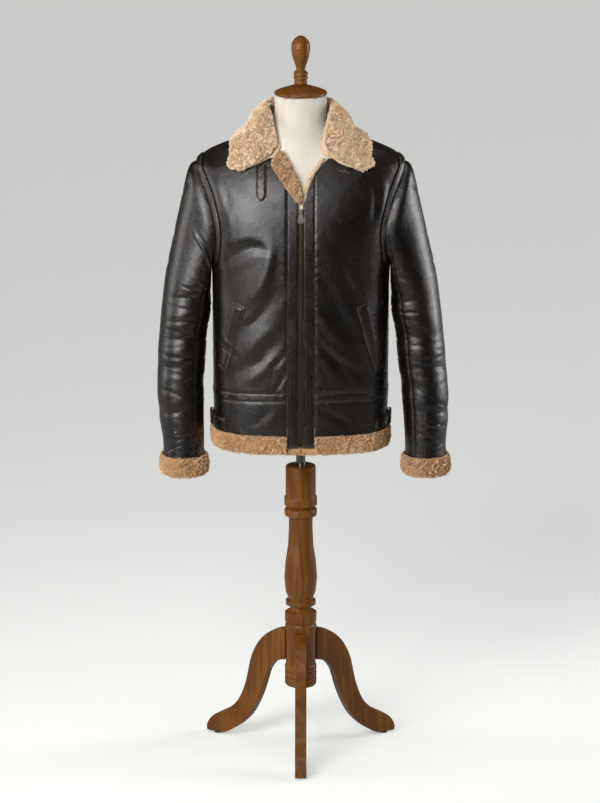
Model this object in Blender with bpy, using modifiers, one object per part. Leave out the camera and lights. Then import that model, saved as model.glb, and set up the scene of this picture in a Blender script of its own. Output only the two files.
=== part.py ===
"""A shearling coat on a limbless dress form with a turned wooden stand.

Metres, +Z up. The pieces are worked out round the post's own axis, with the floor at FLOOR,
and centre_part then moves the whole to stand at Z = 0 over the middle of its bounding box.
The coat's front faces -Y, so the wearer's right side is at -X and the left side at +X.

Two measures place every piece of the coat:
- "turn" is the direction seen from the Z axis, in degrees: 0 is the front, 90 the side, 180 the back;
- "around" is the place on a sleeve's ring, in degrees: 0 is the shoulder side, 90 the front,
  180 the underarm side and 270 the back.
A piece is worked out on the left side (+X), and side = -1 mirrors it to the right.
"""

import math
from collections import namedtuple

import bmesh
import bpy
from mathutils import Matrix, Vector

# ---------------------------------------------------------------- driving dimensions

SEAM_GAP = 0.0003
HALF_GAP = SEAM_GAP / 2
LEATHER = 0.003
TRIM = 0.0016
LIFT = 0.0008
WELT_LIFT = 0.0013
TAPE_LIFT = 0.0016

HEM_FUR_BOTTOM = 0.664
HEM_LINE = 0.702
STRIP_BOTTOM = 0.781
STRIP_TOP = 0.798
WAIST_SIDE_DROP = 0.006
FRONT_NECK = 1.250
SHOULDER_NECK = 1.335
BACK_NECK = 1.345
ZIP_TOP = 1.1935

PLACKET_INNER = 0.0050
PLACKET_OUTER = 0.0284
PLACKET_BOTTOM = 0.681
ZIP_HALF = 0.0046
CHAIN_HALF = 0.0026
SLIDER_HEIGHT = 1.1795

ARMHOLE_MIDDLE = 1.1585
ARMHOLE_HALF = 0.1095
ARMHOLE_FRONT = 22.0
ARMHOLE_BACK = 21.0
ARMHOLE_SAG = 0.4
RING_FRONT = (0, 27, 48, 67, 86, 105, 126, 144, 162, 180)
FRONT_SEAM = 126
BACK_SEAM = 255
LEFT_SWING = 0.010
RIGHT_TUCK = 0.007
LEFT_HOLD = 0.75
SLEEVE_END = 9.0
TAPE_NEAR = 0.0022
TAPE_WIDTH = 0.0115
TAPE_END = 144
TAPE_STEP = 9

FRONT_COLUMNS = 8
BACK_COLUMNS = 8

POST_BORE = 0.0104
POLE_RADIUS = 0.0100
POLE_BOTTOM = 0.5553
FORM_BOTTOM = 0.740
NECK_RADIUS = 0.0540
NECK_TOP = 1.4040
LEG_THICKNESS = 0.024
LEG_DIRECTIONS = (-90, 30, 150)
FLOOR = -0.008
FOOT_HEIGHT = 0.0045
GLIDE_REACH = 0.206
GLIDE_RADIUS = 0.0085
TURNED_SIDES = 16

# The leather's outer surface, in level sections: half the width, the depth to the front and
# to the back of the Z axis, and the power of the section's rounded corners.
ShellRow = namedtuple("ShellRow", "height half_width front back corner")
SHELL = (
    ShellRow(0.655, 0.1800, 0.1235, 0.1180, 2.8),
    ShellRow(0.702, 0.1805, 0.1240, 0.1180, 2.8),
    ShellRow(0.780, 0.1830, 0.1260, 0.1180, 2.7),
    ShellRow(0.890, 0.1835, 0.1290, 0.1180, 2.6),
    ShellRow(1.000, 0.1840, 0.1320, 0.1220, 2.5),
    ShellRow(1.050, 0.1860, 0.1330, 0.1260, 2.5),
    ShellRow(1.100, 0.1920, 0.1320, 0.1290, 2.5),
    ShellRow(1.150, 0.2000, 0.1270, 0.1290, 2.5),
    ShellRow(1.200, 0.2100, 0.1160, 0.1230, 2.4),
    ShellRow(1.235, 0.2165, 0.1020, 0.1120, 2.35),
    ShellRow(1.258, 0.2175, 0.0900, 0.1000, 2.3),
    ShellRow(1.282, 0.2000, 0.0760, 0.0870, 2.2),
    ShellRow(1.302, 0.1610, 0.0640, 0.0760, 2.1),
    ShellRow(1.319, 0.1130, 0.0560, 0.0700, 2.0),
    ShellRow(1.335, 0.0760, 0.0500, 0.0670, 2.0),
    ShellRow(1.350, 0.0700, 0.0480, 0.0660, 2.0),
)

# The sleeve's rings below the armhole: distance from the Z axis, height, how far the ring's
# shoulder side has turned from up to outward, half sizes, the arm's swing to the front, and how
# much of the armhole's own outline the ring still holds.
SleeveRow = namedtuple("SleeveRow", "out height tilt half_width half_depth forward hold")
SLEEVE = (
    SleeveRow(0.2080, 1.1440, 11.0, 0.1080, 0.0820, 0.000, 0.80),
    SleeveRow(0.2165, 1.0980, 20.0, 0.0870, 0.0790, 0.000, 0.65),
    SleeveRow(0.2260, 1.0430, 37.0, 0.0660, 0.0750, 0.002, 0.40),
    SleeveRow(0.2342, 0.9900, 52.7, 0.0592, 0.0710, 0.004, 0.15),
    SleeveRow(0.2430, 0.9250, 67.5, 0.0525, 0.0660, 0.008, 0.00),
    SleeveRow(0.2495, 0.8425, 81.4, 0.0503, 0.0620, 0.014, 0.00),
    SleeveRow(0.2553, 0.7475, 87.0, 0.0483, 0.0580, 0.021, 0.00),
    SleeveRow(0.2527, 0.6800, 90.0, 0.0432, 0.0520, 0.026, 0.00),
    SleeveRow(0.2520, 0.6430, 90.0, 0.0430, 0.0495, 0.029, 0.00),
)
# The ellipse nearest to the armhole.
ARMHOLE_ELLIPSE = SleeveRow(0.1980, 1.1585, 6.0, 0.1095, 0.0820, 0.000, 0.00)

# Soft folds of the body, as long troughs (positive depth) or ridges (negative depth).
# side is -1 for the wearer's right, +1 for the left and 0 for both.
BodyFold = namedtuple("BodyFold", "side turn height length width lean depth")
BODY_FOLDS = (
    BodyFold(-1, 38, 0.960, 0.080, 0.020, 128, 0.0035),
    BodyFold(-1, 28, 0.905, 0.070, 0.016, 132, 0.0030),
    BodyFold(-1, 42, 0.860, 0.075, 0.018, 138, 0.0030),
    BodyFold(-1, 47, 1.060, 0.070, 0.024, 112, 0.0035),
    BodyFold(1, 40, 0.930, 0.080, 0.020, 128, 0.0030),
    BodyFold(1, 46, 1.060, 0.070, 0.024, 112, 0.0030),
    BodyFold(0, 118, 0.880, 0.070, 0.020, 40, 0.0030),
    BodyFold(0, 140, 0.960, 0.080, 0.022, 70, 0.0030),
    BodyFold(0, 160, 0.860, 0.060, 0.020, 15, 0.0025),
)

# Folds across the sleeves.
SleeveFold = namedtuple("SleeveFold", "side around height spread width depth")
SLEEVE_FOLDS = (
    SleeveFold(0, 120, 0.985, 70, 0.020, 0.0040),
    SleeveFold(0, 90, 0.905, 60, 0.018, 0.0035),
    SleeveFold(0, 60, 0.840, 60, 0.018, 0.0030),
    SleeveFold(0, 150, 0.800, 60, 0.017, 0.0030),
    SleeveFold(0, 40, 0.745, 70, 0.016, 0.0030),
    SleeveFold(0, 250, 0.900, 60, 0.018, 0.0025),
    SleeveFold(0, 280, 0.800, 60, 0.018, 0.0025),
)

# Shearling rolled round an edge: steps out from the leather's face and up from its edge.
RollPoint = namedtuple("RollPoint", "out up")
HEM_ROLL = (
    RollPoint(0.0060, 0.0065),
    RollPoint(0.0092, -0.0060),
    RollPoint(0.0095, -0.0230),
    RollPoint(0.0055, -0.0335),
    RollPoint(-0.0035, -0.0365),
    RollPoint(-0.0115, -0.0330),
    RollPoint(-0.0140, -0.0180),
    RollPoint(-0.0120, -0.0035),
    RollPoint(-0.0005, -0.0010),
    RollPoint(0.0012, 0.0000),
    RollPoint(0.0020, 0.0055),
)
CUFF_ROLL = (
    RollPoint(0.0065, 0.0070),
    RollPoint(0.0105, -0.0060),
    RollPoint(0.0112, -0.0220),
    RollPoint(0.0070, -0.0345),
    RollPoint(-0.0030, -0.0390),
    RollPoint(-0.0110, -0.0345),
    RollPoint(-0.0135, -0.0200),
    RollPoint(-0.0115, -0.0045),
    RollPoint(-0.0005, -0.0010),
    RollPoint(0.0013, 0.0000),
    RollPoint(0.0020, 0.0060),
)

# The collar from its front end to the middle of the back: where its seam, its top fold and its
# leaf's edge lie, and how thick the leaf is.
CollarRow = namedtuple(
    "CollarRow", "seam_turn seam_height fold_turn fold_reach fold_height edge_turn edge_height thick"
)
COLLAR = (
    CollarRow(39, 1.290, 35, 0.0840, 1.3130, 58, 1.255, 0.0150),
    CollarRow(46, 1.302, 45, 0.0815, 1.3390, 67, 1.264, 0.0185),
    CollarRow(58, 1.315, 57, 0.0795, 1.3670, 71, 1.283, 0.0205),
    CollarRow(74, 1.327, 74, 0.0785, 1.3835, 80, 1.299, 0.0205),
    CollarRow(90, 1.337, 90, 0.0775, 1.3880, 90, 1.308, 0.0205),
    CollarRow(112, 1.341, 112, 0.0770, 1.3900, 107, 1.305, 0.0195),
    CollarRow(136, 1.345, 136, 0.0770, 1.3910, 130, 1.291, 0.0185),
    CollarRow(158, 1.347, 158, 0.0775, 1.3920, 155, 1.280, 0.0180),
    CollarRow(180, 1.348, 180, 0.0780, 1.3925, 180, 1.276, 0.0180),
)
FOLD_HALF = 0.0100
LEAF_CLEARANCE = 0.0039

# The right front's facing, turned out at the neck: its two edges from the collar to the zip.
LapelRow = namedtuple("LapelRow", "outer_across outer_height inner_across inner_height thick")
LAPEL = (
    LapelRow(-0.0560, 1.2850, -0.0385, 1.2970, 0.0090),
    LapelRow(-0.0610, 1.2670, -0.0290, 1.2870, 0.0140),
    LapelRow(-0.0450, 1.2430, -0.0150, 1.2610, 0.0150),
    LapelRow(-0.0290, 1.2220, -0.0020, 1.2380, 0.0140),
    LapelRow(-0.0140, 1.2030, 0.0050, 1.2170, 0.0120),
    LapelRow(-0.0040, 1.1925, 0.0045, 1.2000, 0.0080),
)

# Pocket welts: the corners of the left one, across and up.
WeltCorner = namedtuple("WeltCorner", "across height")
WELT_TOP = (WeltCorner(0.1140, 0.9790), WeltCorner(0.1410, 0.9900))
WELT_BOTTOM = (WeltCorner(0.1545, 0.8340), WeltCorner(0.1710, 0.8470))

# Turned pieces: radius and height, from top to bottom.
POST_OUTLINE = (
    (0.0300, 0.6150), (0.0318, 0.6120), (0.0318, 0.5490), (0.0346, 0.5460), (0.0346, 0.5290),
    (0.0268, 0.5247), (0.0340, 0.5200), (0.0346, 0.5130), (0.0335, 0.5060), (0.0255, 0.5035),
    (0.0252, 0.4800), (0.0268, 0.4410), (0.0322, 0.4060), (0.0348, 0.3700), (0.0319, 0.3384),
    (0.0253, 0.3230), (0.0318, 0.3205), (0.0318, 0.3105), (0.0226, 0.3070), (0.0226, 0.3010),
    (0.0338, 0.2940), (0.0335, 0.2740), (0.0312, 0.2690), (0.0334, 0.2655), (0.0334, 0.2540),
    (0.0316, 0.2510), (0.0316, 0.1790), (0.0337, 0.1765), (0.0337, 0.1660), (0.0310, 0.1645),
    (0.0337, 0.1630), (0.0337, 0.1525), (0.0310, 0.1510), (0.0337, 0.1495), (0.0337, 0.1360),
    (0.0300, 0.1320),
)
BORE_BOTTOM = 0.5550
CAP_OUTLINE = (
    (0.0125, 1.4237), (0.0200, 1.4220), (0.0340, 1.4180), (0.0470, 1.4135), (0.0535, 1.4100),
    (0.0548, 1.4075), (0.0545, 1.4050), (0.0535, 1.4040),
)
FINIAL_OUTLINE = (
    (0.0060, 1.5250), (0.0135, 1.5190), (0.0185, 1.5110), (0.0196, 1.5010), (0.0180, 1.4860),
    (0.0140, 1.4724), (0.0100, 1.4610), (0.0088, 1.4545), (0.0125, 1.4520), (0.0150, 1.4480),
    (0.0150, 1.4440), (0.0128, 1.4425), (0.0148, 1.4405), (0.0148, 1.4360), (0.0118, 1.4340),
    (0.0142, 1.4290), (0.0130, 1.4240),
)
# One leg's outline: distance from the post's axis, and height.
LEG_OUTLINE = (
    (0.0323, 0.2530), (0.0450, 0.2515), (0.0718, 0.2408), (0.0955, 0.2190), (0.1110, 0.1930),
    (0.1185, 0.1725), (0.1235, 0.1505), (0.1310, 0.1195), (0.1430, 0.0890), (0.1550, 0.0705),
    (0.1710, 0.0560), (0.1915, 0.0445), (0.2110, 0.0330), (0.2235, 0.0195), (0.2285, 0.0065),
    (0.2275, -0.0035), (0.1860, -0.0035), (0.1700, 0.0045), (0.1450, 0.0220), (0.1210, 0.0468),
    (0.1030, 0.0785), (0.0895, 0.1110), (0.0820, 0.1355), (0.0740, 0.1570), (0.0590, 0.1750),
    (0.0440, 0.1825), (0.0323, 0.1845),
)

# ---------------------------------------------------------------- finishes

Finish = namedtuple("Finish", "color roughness metallic")
FINISHES = {
    "leather": Finish((0.030, 0.021, 0.017, 1.0), 0.38, 0.0),
    "shearling": Finish((0.560, 0.370, 0.210, 1.0), 0.95, 0.0),
    "linen": Finish((0.800, 0.740, 0.640, 1.0), 0.85, 0.0),
    "wood": Finish((0.300, 0.125, 0.040, 1.0), 0.30, 0.0),
    "steel": Finish((0.600, 0.600, 0.600, 1.0), 0.22, 1.0),
    "bronze": Finish((0.120, 0.090, 0.060, 1.0), 0.40, 1.0),
    "tape": Finish((0.020, 0.016, 0.014, 1.0), 0.85, 0.0),
    "glide": Finish((0.030, 0.028, 0.026, 1.0), 0.60, 0.0),
}


def finish_material(object_name, finish_name):
    finish = FINISHES[finish_name]
    material = bpy.data.materials.new(object_name + "_" + finish_name)
    material.use_nodes = True
    shader = material.node_tree.nodes["Principled BSDF"]
    shader.inputs["Base Color"].default_value = finish.color
    shader.inputs["Roughness"].default_value = finish.roughness
    shader.inputs["Metallic"].default_value = finish.metallic
    return material


# ---------------------------------------------------------------- scene and mesh helpers


def clear_scene():
    for item in list(bpy.data.objects):
        bpy.data.objects.remove(item, do_unlink=True)


def new_collection(name):
    collection = bpy.data.collections.new(name)
    bpy.context.scene.collection.children.link(collection)
    return collection


def add_object(name, mesh, finish_name, smooth_angle=40):
    mesh.shade_smooth()
    mesh.set_sharp_from_angle(angle=math.radians(smooth_angle))
    item = bpy.data.objects.new(name, mesh)
    item.data.materials.append(finish_material(name, finish_name))
    COAT.objects.link(item)
    return item


def mesh_from(name, points, faces):
    """A closed mesh: equal points are welded and the faces are turned outward."""
    mesh = bpy.data.meshes.new(name)
    mesh.from_pydata([tuple(p) for p in points], [], faces)
    work = bmesh.new()
    work.from_mesh(mesh)
    bmesh.ops.remove_doubles(work, verts=work.verts, dist=1e-6)
    bmesh.ops.recalc_face_normals(work, faces=work.faces)
    work.to_mesh(mesh)
    work.free()
    return mesh


def mirrored(points, side):
    return [Vector((p.x * side, p.y, p.z)) for p in points]


def split_by_short_diagonal(points, corners):
    """A cell as two triangles; the numbers say which way, so that two layers can be cut alike."""
    a, b, c, d = (points[k] for k in corners)
    if (a - c).length <= (b - d).length + 1e-7:
        return ((0, 1, 2), (0, 2, 3))
    return ((0, 1, 3), (1, 2, 3))


def wall(name, outer, inner, finish_name, side=1, closed=False):
    """A wall between two grids of points; closed joins the last column to the first."""
    rows = len(outer)
    columns = len(outer[0])
    points = []
    for grid in (outer, inner):
        for row in grid:
            points.extend(mirrored(row, side))
    offset = rows * columns

    def number(layer, row, column):
        return layer * offset + row * columns + column % columns

    faces = []
    spans = columns if closed else columns - 1
    for r in range(rows - 1):
        for c in range(spans):
            corners = ((r, c), (r, c + 1), (r + 1, c + 1), (r + 1, c))
            cuts = split_by_short_diagonal(points, [number(0, *place) for place in corners])
            for cut in cuts:
                faces.append([number(0, *corners[k]) for k in cut])
                faces.append([number(1, *corners[k]) for k in cut[::-1]])
    for c in range(spans):
        for r in (0, rows - 1):
            face = [number(0, r, c), number(0, r, c + 1), number(1, r, c + 1), number(1, r, c)]
            faces.append(face)
    if not closed:
        for r in range(rows - 1):
            for c in (0, columns - 1):
                face = [number(0, r, c), number(0, r + 1, c), number(1, r + 1, c), number(1, r, c)]
                faces.append(face)
    return add_object(name, mesh_from(name, points, faces), finish_name)


def loft(name, loops, finish_name, side=1, ring=False):
    """A solid through equal loops of points; ring joins the last loop to the first."""
    count = len(loops[0])
    points = []
    for loop in loops:
        points.extend(mirrored(loop, side))
    faces = []
    spans = len(loops) if ring else len(loops) - 1
    for a in range(spans):
        b = (a + 1) % len(loops)
        for k in range(count):
            n = (k + 1) % count
            corners = (a * count + k, a * count + n, b * count + n, b * count + k)
            for cut in split_by_short_diagonal(points, corners):
                faces.append([corners[j] for j in cut])
    if not ring:
        faces.append(list(range(count)))
        faces.append([(len(loops) - 1) * count + k for k in range(count)])
    return add_object(name, mesh_from(name, points, faces), finish_name)


def turned(name, outline, finish_name):
    """A profile turned about the Z axis by a Screw modifier; its ends are carried to the axis."""
    outline = [(0.0, outline[0][1])] + list(outline) + [(0.0, outline[-1][1])]
    mesh = bpy.data.meshes.new(name)
    edges = [(k, k + 1) for k in range(len(outline) - 1)]
    mesh.from_pydata([(radius, 0.0, height) for radius, height in outline], edges, [])
    item = bpy.data.objects.new(name, mesh)
    item.data.materials.append(finish_material(name, finish_name))
    COAT.objects.link(item)
    screw = item.modifiers.new("turn", "SCREW")
    screw.axis = "Z"
    screw.angle = math.tau
    screw.steps = TURNED_SIDES
    screw.render_steps = TURNED_SIDES
    screw.use_merge_vertices = True
    screw.merge_threshold = 0.0001
    screw.use_smooth_shade = True
    return item


# ---------------------------------------------------------------- reading the tables


def read_table(rows, key, column, at):
    """A column of a table at any key, on a smooth curve that never passes its rows' values."""
    xs = [getattr(row, key) for row in rows]
    ys = [getattr(row, column) for row in rows]
    if at <= xs[0]:
        return ys[0]
    if at >= xs[-1]:
        return ys[-1]
    last = len(xs) - 1
    steps = [(ys[k + 1] - ys[k]) / (xs[k + 1] - xs[k]) for k in range(last)]

    def slope(k):
        if k == 0 or k == last:
            return steps[min(k, last - 1)]
        before, after = steps[k - 1], steps[k]
        return 0.0 if before * after <= 0 else 2 * before * after / (before + after)

    i = next(k for k in range(last) if at <= xs[k + 1])
    width = xs[i + 1] - xs[i]
    t = (at - xs[i]) / width
    rise = (1 - t) ** 2 * (1 + 2 * t) * ys[i] + t * t * (3 - 2 * t) * ys[i + 1]
    return rise + width * (t * (1 - t) ** 2 * slope(i) - t * t * (1 - t) * slope(i + 1))


def between(low, high, share):
    return low + (high - low) * share


def spline(values, at):
    """A smooth curve through evenly numbered values or points, read at a number."""
    last = len(values) - 1
    i = min(int(at), last - 1)
    t = at - i
    p1, p2 = values[i], values[i + 1]
    p0 = values[i - 1] if i > 0 else p1 * 2 - p2
    p3 = values[i + 2] if i + 2 <= last else p2 * 2 - p1
    return (
        p1 * 2
        + (p2 - p0) * t
        + (p0 * 2 - p1 * 5 + p2 * 4 - p3) * t**2
        + (p1 * 3 - p0 - p2 * 3 + p3) * t**3
    ) * 0.5


# ---------------------------------------------------------------- the body's surface


def bare_shell(turn, height):
    angle = math.radians(turn)
    half = read_table(SHELL, "height", "half_width", height)
    depth = read_table(SHELL, "height", "front" if abs(turn) < 90 else "back", height)
    power = read_table(SHELL, "height", "corner", height)
    across = abs(math.sin(angle)) / half
    along = abs(math.cos(angle)) / depth
    radius = (across**power + along**power) ** (-1 / power)
    return Vector((radius * math.sin(angle), -radius * math.cos(angle), height))


def shell_normal(turn, height):
    sideways = bare_shell(turn + 0.5, height) - bare_shell(turn - 0.5, height)
    upward = bare_shell(turn, height + 0.001) - bare_shell(turn, height - 0.001)
    return sideways.cross(upward).normalized()


def fold_depth(side, turn, height):
    """How far the folds sink the leather at a place of the body."""
    depth = 0.0
    for fold in BODY_FOLDS:
        if fold.side not in (0, side):
            continue
        across = math.radians(turn - fold.turn) * 0.15
        up = height - fold.height
        lean = math.radians(fold.lean)
        along = across * math.cos(lean) + up * math.sin(lean)
        beside = -across * math.sin(lean) + up * math.cos(lean)
        depth += fold.depth * math.exp(-((along / fold.length) ** 2) - (beside / fold.width) ** 2)
    return depth


def shell_point(turn, height, out=0.0, side=1):
    sink = fold_depth(side, turn, height)
    return bare_shell(turn, height) + shell_normal(turn, height) * (out - sink)


def turn_at(across, height):
    """The turn at which the front lies a given distance from the middle."""
    half = read_table(SHELL, "height", "half_width", height)
    depth = read_table(SHELL, "height", "front", height)
    power = read_table(SHELL, "height", "corner", height)
    forward = depth * (1 - (abs(across) / half) ** power) ** (1 / power)
    return math.degrees(math.atan2(across, forward))


def front_point(across, height, out=0.0):
    """A point of the front at a signed distance from the middle."""
    side = -1 if across < 0 else 1
    point = shell_point(turn_at(abs(across), height), height, out, side)
    return Vector((point.x * side, point.y, point.z))


def settled(turn, height):
    """Heights near the waist, which lies a little lower at the sides than at the middle."""
    low = min(max((height - HEM_LINE) / (STRIP_BOTTOM - HEM_LINE), 0.0), 1.0)
    high = min(max((0.90 - height) / (0.90 - STRIP_TOP), 0.0), 1.0)
    return height - WAIST_SIDE_DROP * math.sin(math.radians(turn)) ** 2 * min(low, high)


# ---------------------------------------------------------------- the armhole and the panels' rows


def armhole_edge(around, grow):
    """The armhole's edge, as turn and height; grow widens it by that distance."""
    angle = math.radians(around)
    height = ARMHOLE_MIDDLE + (ARMHOLE_HALF + grow) * math.cos(angle)
    widest = ARMHOLE_FRONT if around <= 180 else ARMHOLE_BACK
    reach = widest * math.sin(angle) * (1 - ARMHOLE_SAG * math.cos(angle))
    reach += math.degrees(grow / 0.19) * math.sin(angle)
    return 90 - reach, height


def side_edge(back):
    """The outer edge of a front, or of the back, from the waist up to the neck."""
    seam = math.degrees(HALF_GAP / 0.18)
    turn = 90 + seam if back else 90 - seam
    edge = [(turn, height) for height in (STRIP_TOP + HALF_GAP, 0.845, 0.895, 0.950, 1.005)]
    for angle in RING_FRONT[::-1]:
        around = 360 - angle if back else angle
        hole_turn, height = armhole_edge(around, HALF_GAP)
        edge.append((max(hole_turn, turn) if back else min(hole_turn, turn), height))
    edge += [(turn, height) for height in (1.288, 1.310, SHOULDER_NECK)]
    return edge


BendRow = namedtuple("BendRow", "share front back")
ROW_BEND = (
    BendRow(0.00, 1.60, 1.60),
    BendRow(0.45, 1.05, 1.15),
    BendRow(0.80, 0.50, 0.65),
    BendRow(1.00, 0.74, 1.00),
)


def panel_rows(back):
    """Rows of (turn, height) from the middle of the front or back to its outer edge."""
    edge = side_edge(back)
    places = [bare_shell(turn, height) for turn, height in edge]
    start = next(k for k, (turn, height) in enumerate(edge) if height > 0.951)
    run = [0.0]
    for k in range(start, len(edge)):
        run.append(run[-1] + (places[k] - places[k - 1]).length)
    top = BACK_NECK if back else FRONT_NECK
    columns = BACK_COLUMNS if back else FRONT_COLUMNS
    rows = []
    for k, (edge_turn, edge_height) in enumerate(edge):
        share = run[k - start + 1] / run[-1] if k >= start else 0.0
        middle = between(edge[start - 1][1], top, share) if k >= start else edge_height
        middle_turn = 180 if back else turn_at(PLACKET_OUTER + SEAM_GAP, middle)
        bend = read_table(ROW_BEND, "share", "back" if back else "front", share)
        row = []
        for c in range(columns + 1):
            s = c / columns
            turn = between(middle_turn, edge_turn, s)
            row.append((turn, settled(turn, between(middle, edge_height, s**bend))))
        rows.append(row)
    return rows


def shell_grid(rows, out, side=1):
    return [[shell_point(turn, height, out, side) for turn, height in row] for row in rows]


def both_sides(rows):
    """Rows of the back from its left edge, over the middle, to its right edge."""
    grid = []
    for row in rows:
        left = row[::-1]
        right = [(360 - turn, height) for turn, height in row[1:]]
        grid.append(left + right)
    return grid


def back_grid(rows, out):
    """The back's points; a turn past 180 is on the wearer's right."""
    grid = []
    for row in both_sides(rows):
        line = []
        for turn, height in row:
            if turn <= 180:
                line.append(shell_point(turn, height, out, 1))
            else:
                point = shell_point(360 - turn, height, out, -1)
                line.append(Vector((-point.x, point.y, point.z)))
        grid.append(line)
    return grid


def level_rows(back, heights):
    """Rows of a level band, on the panels' own columns."""
    columns = BACK_COLUMNS if back else FRONT_COLUMNS
    edge_turn = side_edge(back)[0][0]
    rows = []
    for height in heights:
        middle_turn = 180 if back else turn_at(PLACKET_OUTER + SEAM_GAP, height)
        turns = [between(middle_turn, edge_turn, c / columns) for c in range(columns + 1)]
        rows.append([(turn, settled(turn, height)) for turn in turns])
    return rows


def side_name(side):
    return "left" if side > 0 else "right"


def make_body():
    """Fronts, back, waist strips and hem bands: leather walls with 0.3 mm between them."""
    strip = (STRIP_BOTTOM + HALF_GAP, STRIP_TOP - HALF_GAP)
    band = (HEM_LINE + HALF_GAP, 0.742, STRIP_BOTTOM - HALF_GAP)
    pieces = (
        ("front", "back", panel_rows(False), panel_rows(True), 0.0),
        ("waist_strip", "waist_strip_back", level_rows(False, strip), level_rows(True, strip), LIFT),
        ("hem_band", "hem_band_back", level_rows(False, band), level_rows(True, band), 0.0),
    )
    for front_name, back_name, front_rows, back_rows, out in pieces:
        inner = out - LEATHER
        for side in (-1, 1):
            name = front_name + "_" + side_name(side)
            outer_grid = shell_grid(front_rows, out, side)
            wall(name, outer_grid, shell_grid(front_rows, inner, side), "leather", side)
        wall(back_name, back_grid(back_rows, out), back_grid(back_rows, inner), "leather")


# ---------------------------------------------------------------- front edges, zip and neck


def neckline(across):
    """The height of the fronts' neck edge at a distance from the middle, up to the placket's edge."""
    share = (across - PLACKET_INNER) / (PLACKET_OUTER - PLACKET_INNER)
    return between(ZIP_TOP, FRONT_NECK, share)


def front_strip(name, across_list, bottom, top_of, out, thick, rows, finish_name, side=1):
    """A strip down the front, made from the shell's own points."""
    grids = []
    for level in (out, out - thick):
        grid = []
        for r in range(rows + 1):
            line = []
            for across in across_list:
                height = between(bottom, top_of(across), r / rows)
                line.append(front_point(across, height, level))
            grid.append(line)
        grids.append(grid)
    return wall(name, grids[0], grids[1], finish_name, side)


def make_plackets():
    middle = (PLACKET_INNER + PLACKET_OUTER) / 2
    across = (PLACKET_INNER, middle, PLACKET_OUTER)
    for side in (-1, 1):
        name = "placket_" + side_name(side)
        front_strip(name, across, PLACKET_BOTTOM, neckline, 0.0010, LEATHER, 16, "leather", side)


def make_zip():
    end = SLIDER_HEIGHT - 0.0070
    tape = (-ZIP_HALF, 0.0, ZIP_HALF)
    chain = (-CHAIN_HALF, CHAIN_HALF)
    bottom = PLACKET_BOTTOM + 0.003
    front_strip("zip_tape", tape, bottom, lambda across: end, -0.0004, 0.0012, 14, "tape")
    front_strip("zip_chain", chain, bottom, lambda across: end, 0.0018, 0.0018, 14, "bronze")


def slider_frame():
    """The zip slider's own axes: X across, Y up along the zip, Z out of the coat."""
    normal = shell_normal(0.0, SLIDER_HEIGHT)
    across = Vector((1.0, 0.0, 0.0))
    upward = normal.cross(across).normalized()
    frame = Matrix((across, upward, normal)).transposed().to_4x4()
    frame.translation = bare_shell(0.0, SLIDER_HEIGHT)
    return frame


SLIDER_SIZE = (0.0094, 0.0130, 0.0034)
SLIDER_TOP = 0.0024
BRIDGE_RADIUS = 0.0028
BRIDGE_WIRE = 0.00075
PULL_PIVOT = 0.00105
PULL_THICKNESS = 0.0012
PULL_OUTLINE = (
    (-0.0034, 0.0006), (-0.0034, -0.0060), (-0.0060, -0.0150), (-0.0060, -0.0215),
    (-0.0050, -0.0230), (0.0050, -0.0230), (0.0060, -0.0215), (0.0060, -0.0150),
    (0.0034, -0.0060), (0.0034, 0.0006),
)
PULL_WINDOW = ((-0.0016, -0.0006), (0.0016, -0.0006), (0.0016, -0.0050), (-0.0016, -0.0050))
PULL_HOLE_RADIUS = 0.0017
PULL_HOLE_PLACE = -0.0190


def make_slider():
    """The slider's plate with the bridge that holds the pull tab, joined into one body."""
    mesh = bpy.data.meshes.new("zip_slider")
    work = bmesh.new()
    bmesh.ops.create_cube(work, size=1.0)
    for vert in work.verts:
        narrow = 0.78 if vert.co.y < 0 else 1.0
        vert.co.x *= SLIDER_SIZE[0] * narrow
        vert.co.y *= SLIDER_SIZE[1]
        vert.co.z = vert.co.z * SLIDER_SIZE[2] + SLIDER_TOP - SLIDER_SIZE[2] / 2
    work.to_mesh(mesh)
    work.free()
    slider = add_object("zip_slider", mesh, "steel", 30)
    bevel = slider.modifiers.new("edges", "BEVEL")
    bevel.width = 0.0006
    bevel.segments = 1
    wire = bmesh.new()
    steps = 8
    sides = 6
    sink = 0.0006
    rings = []
    arch = [(-BRIDGE_RADIUS, -sink)]
    arch += [
        (-BRIDGE_RADIUS * math.cos(math.pi * k / steps), BRIDGE_RADIUS * math.sin(math.pi * k / steps))
        for k in range(steps + 1)
    ]
    arch += [(BRIDGE_RADIUS, -sink)]
    for k, (up, out) in enumerate(arch):
        angle = math.pi * min(max(k - 1, 0), steps) / steps
        ring = []
        for j in range(sides):
            spin = math.tau * j / sides
            swell = BRIDGE_WIRE * math.sin(spin)
            place = (
                BRIDGE_WIRE * math.cos(spin),
                up - swell * math.cos(angle),
                SLIDER_TOP + out + swell * math.sin(angle),
            )
            ring.append(wire.verts.new(place))
        rings.append(ring)
    for a, b in zip(rings, rings[1:]):
        for j in range(sides):
            n = (j + 1) % sides
            wire.faces.new((a[j], a[n], b[n], b[j]))
    wire.faces.new(rings[0])
    wire.faces.new(rings[-1][::-1])
    bmesh.ops.recalc_face_normals(wire, faces=wire.faces)
    bridge_mesh = bpy.data.meshes.new("zip_bridge_tool")
    wire.to_mesh(bridge_mesh)
    wire.free()
    bridge = bpy.data.objects.new("zip_bridge_tool", bridge_mesh)
    CUTTERS.objects.link(bridge)
    bridge.hide_render = True
    bridge.display_type = "WIRE"
    join = slider.modifiers.new("bridge", "BOOLEAN")
    join.operation = "UNION"
    join.object = bridge
    join.solver = "EXACT"
    slider.matrix_world = slider_frame()
    bridge.matrix_world = slider_frame()


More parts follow.
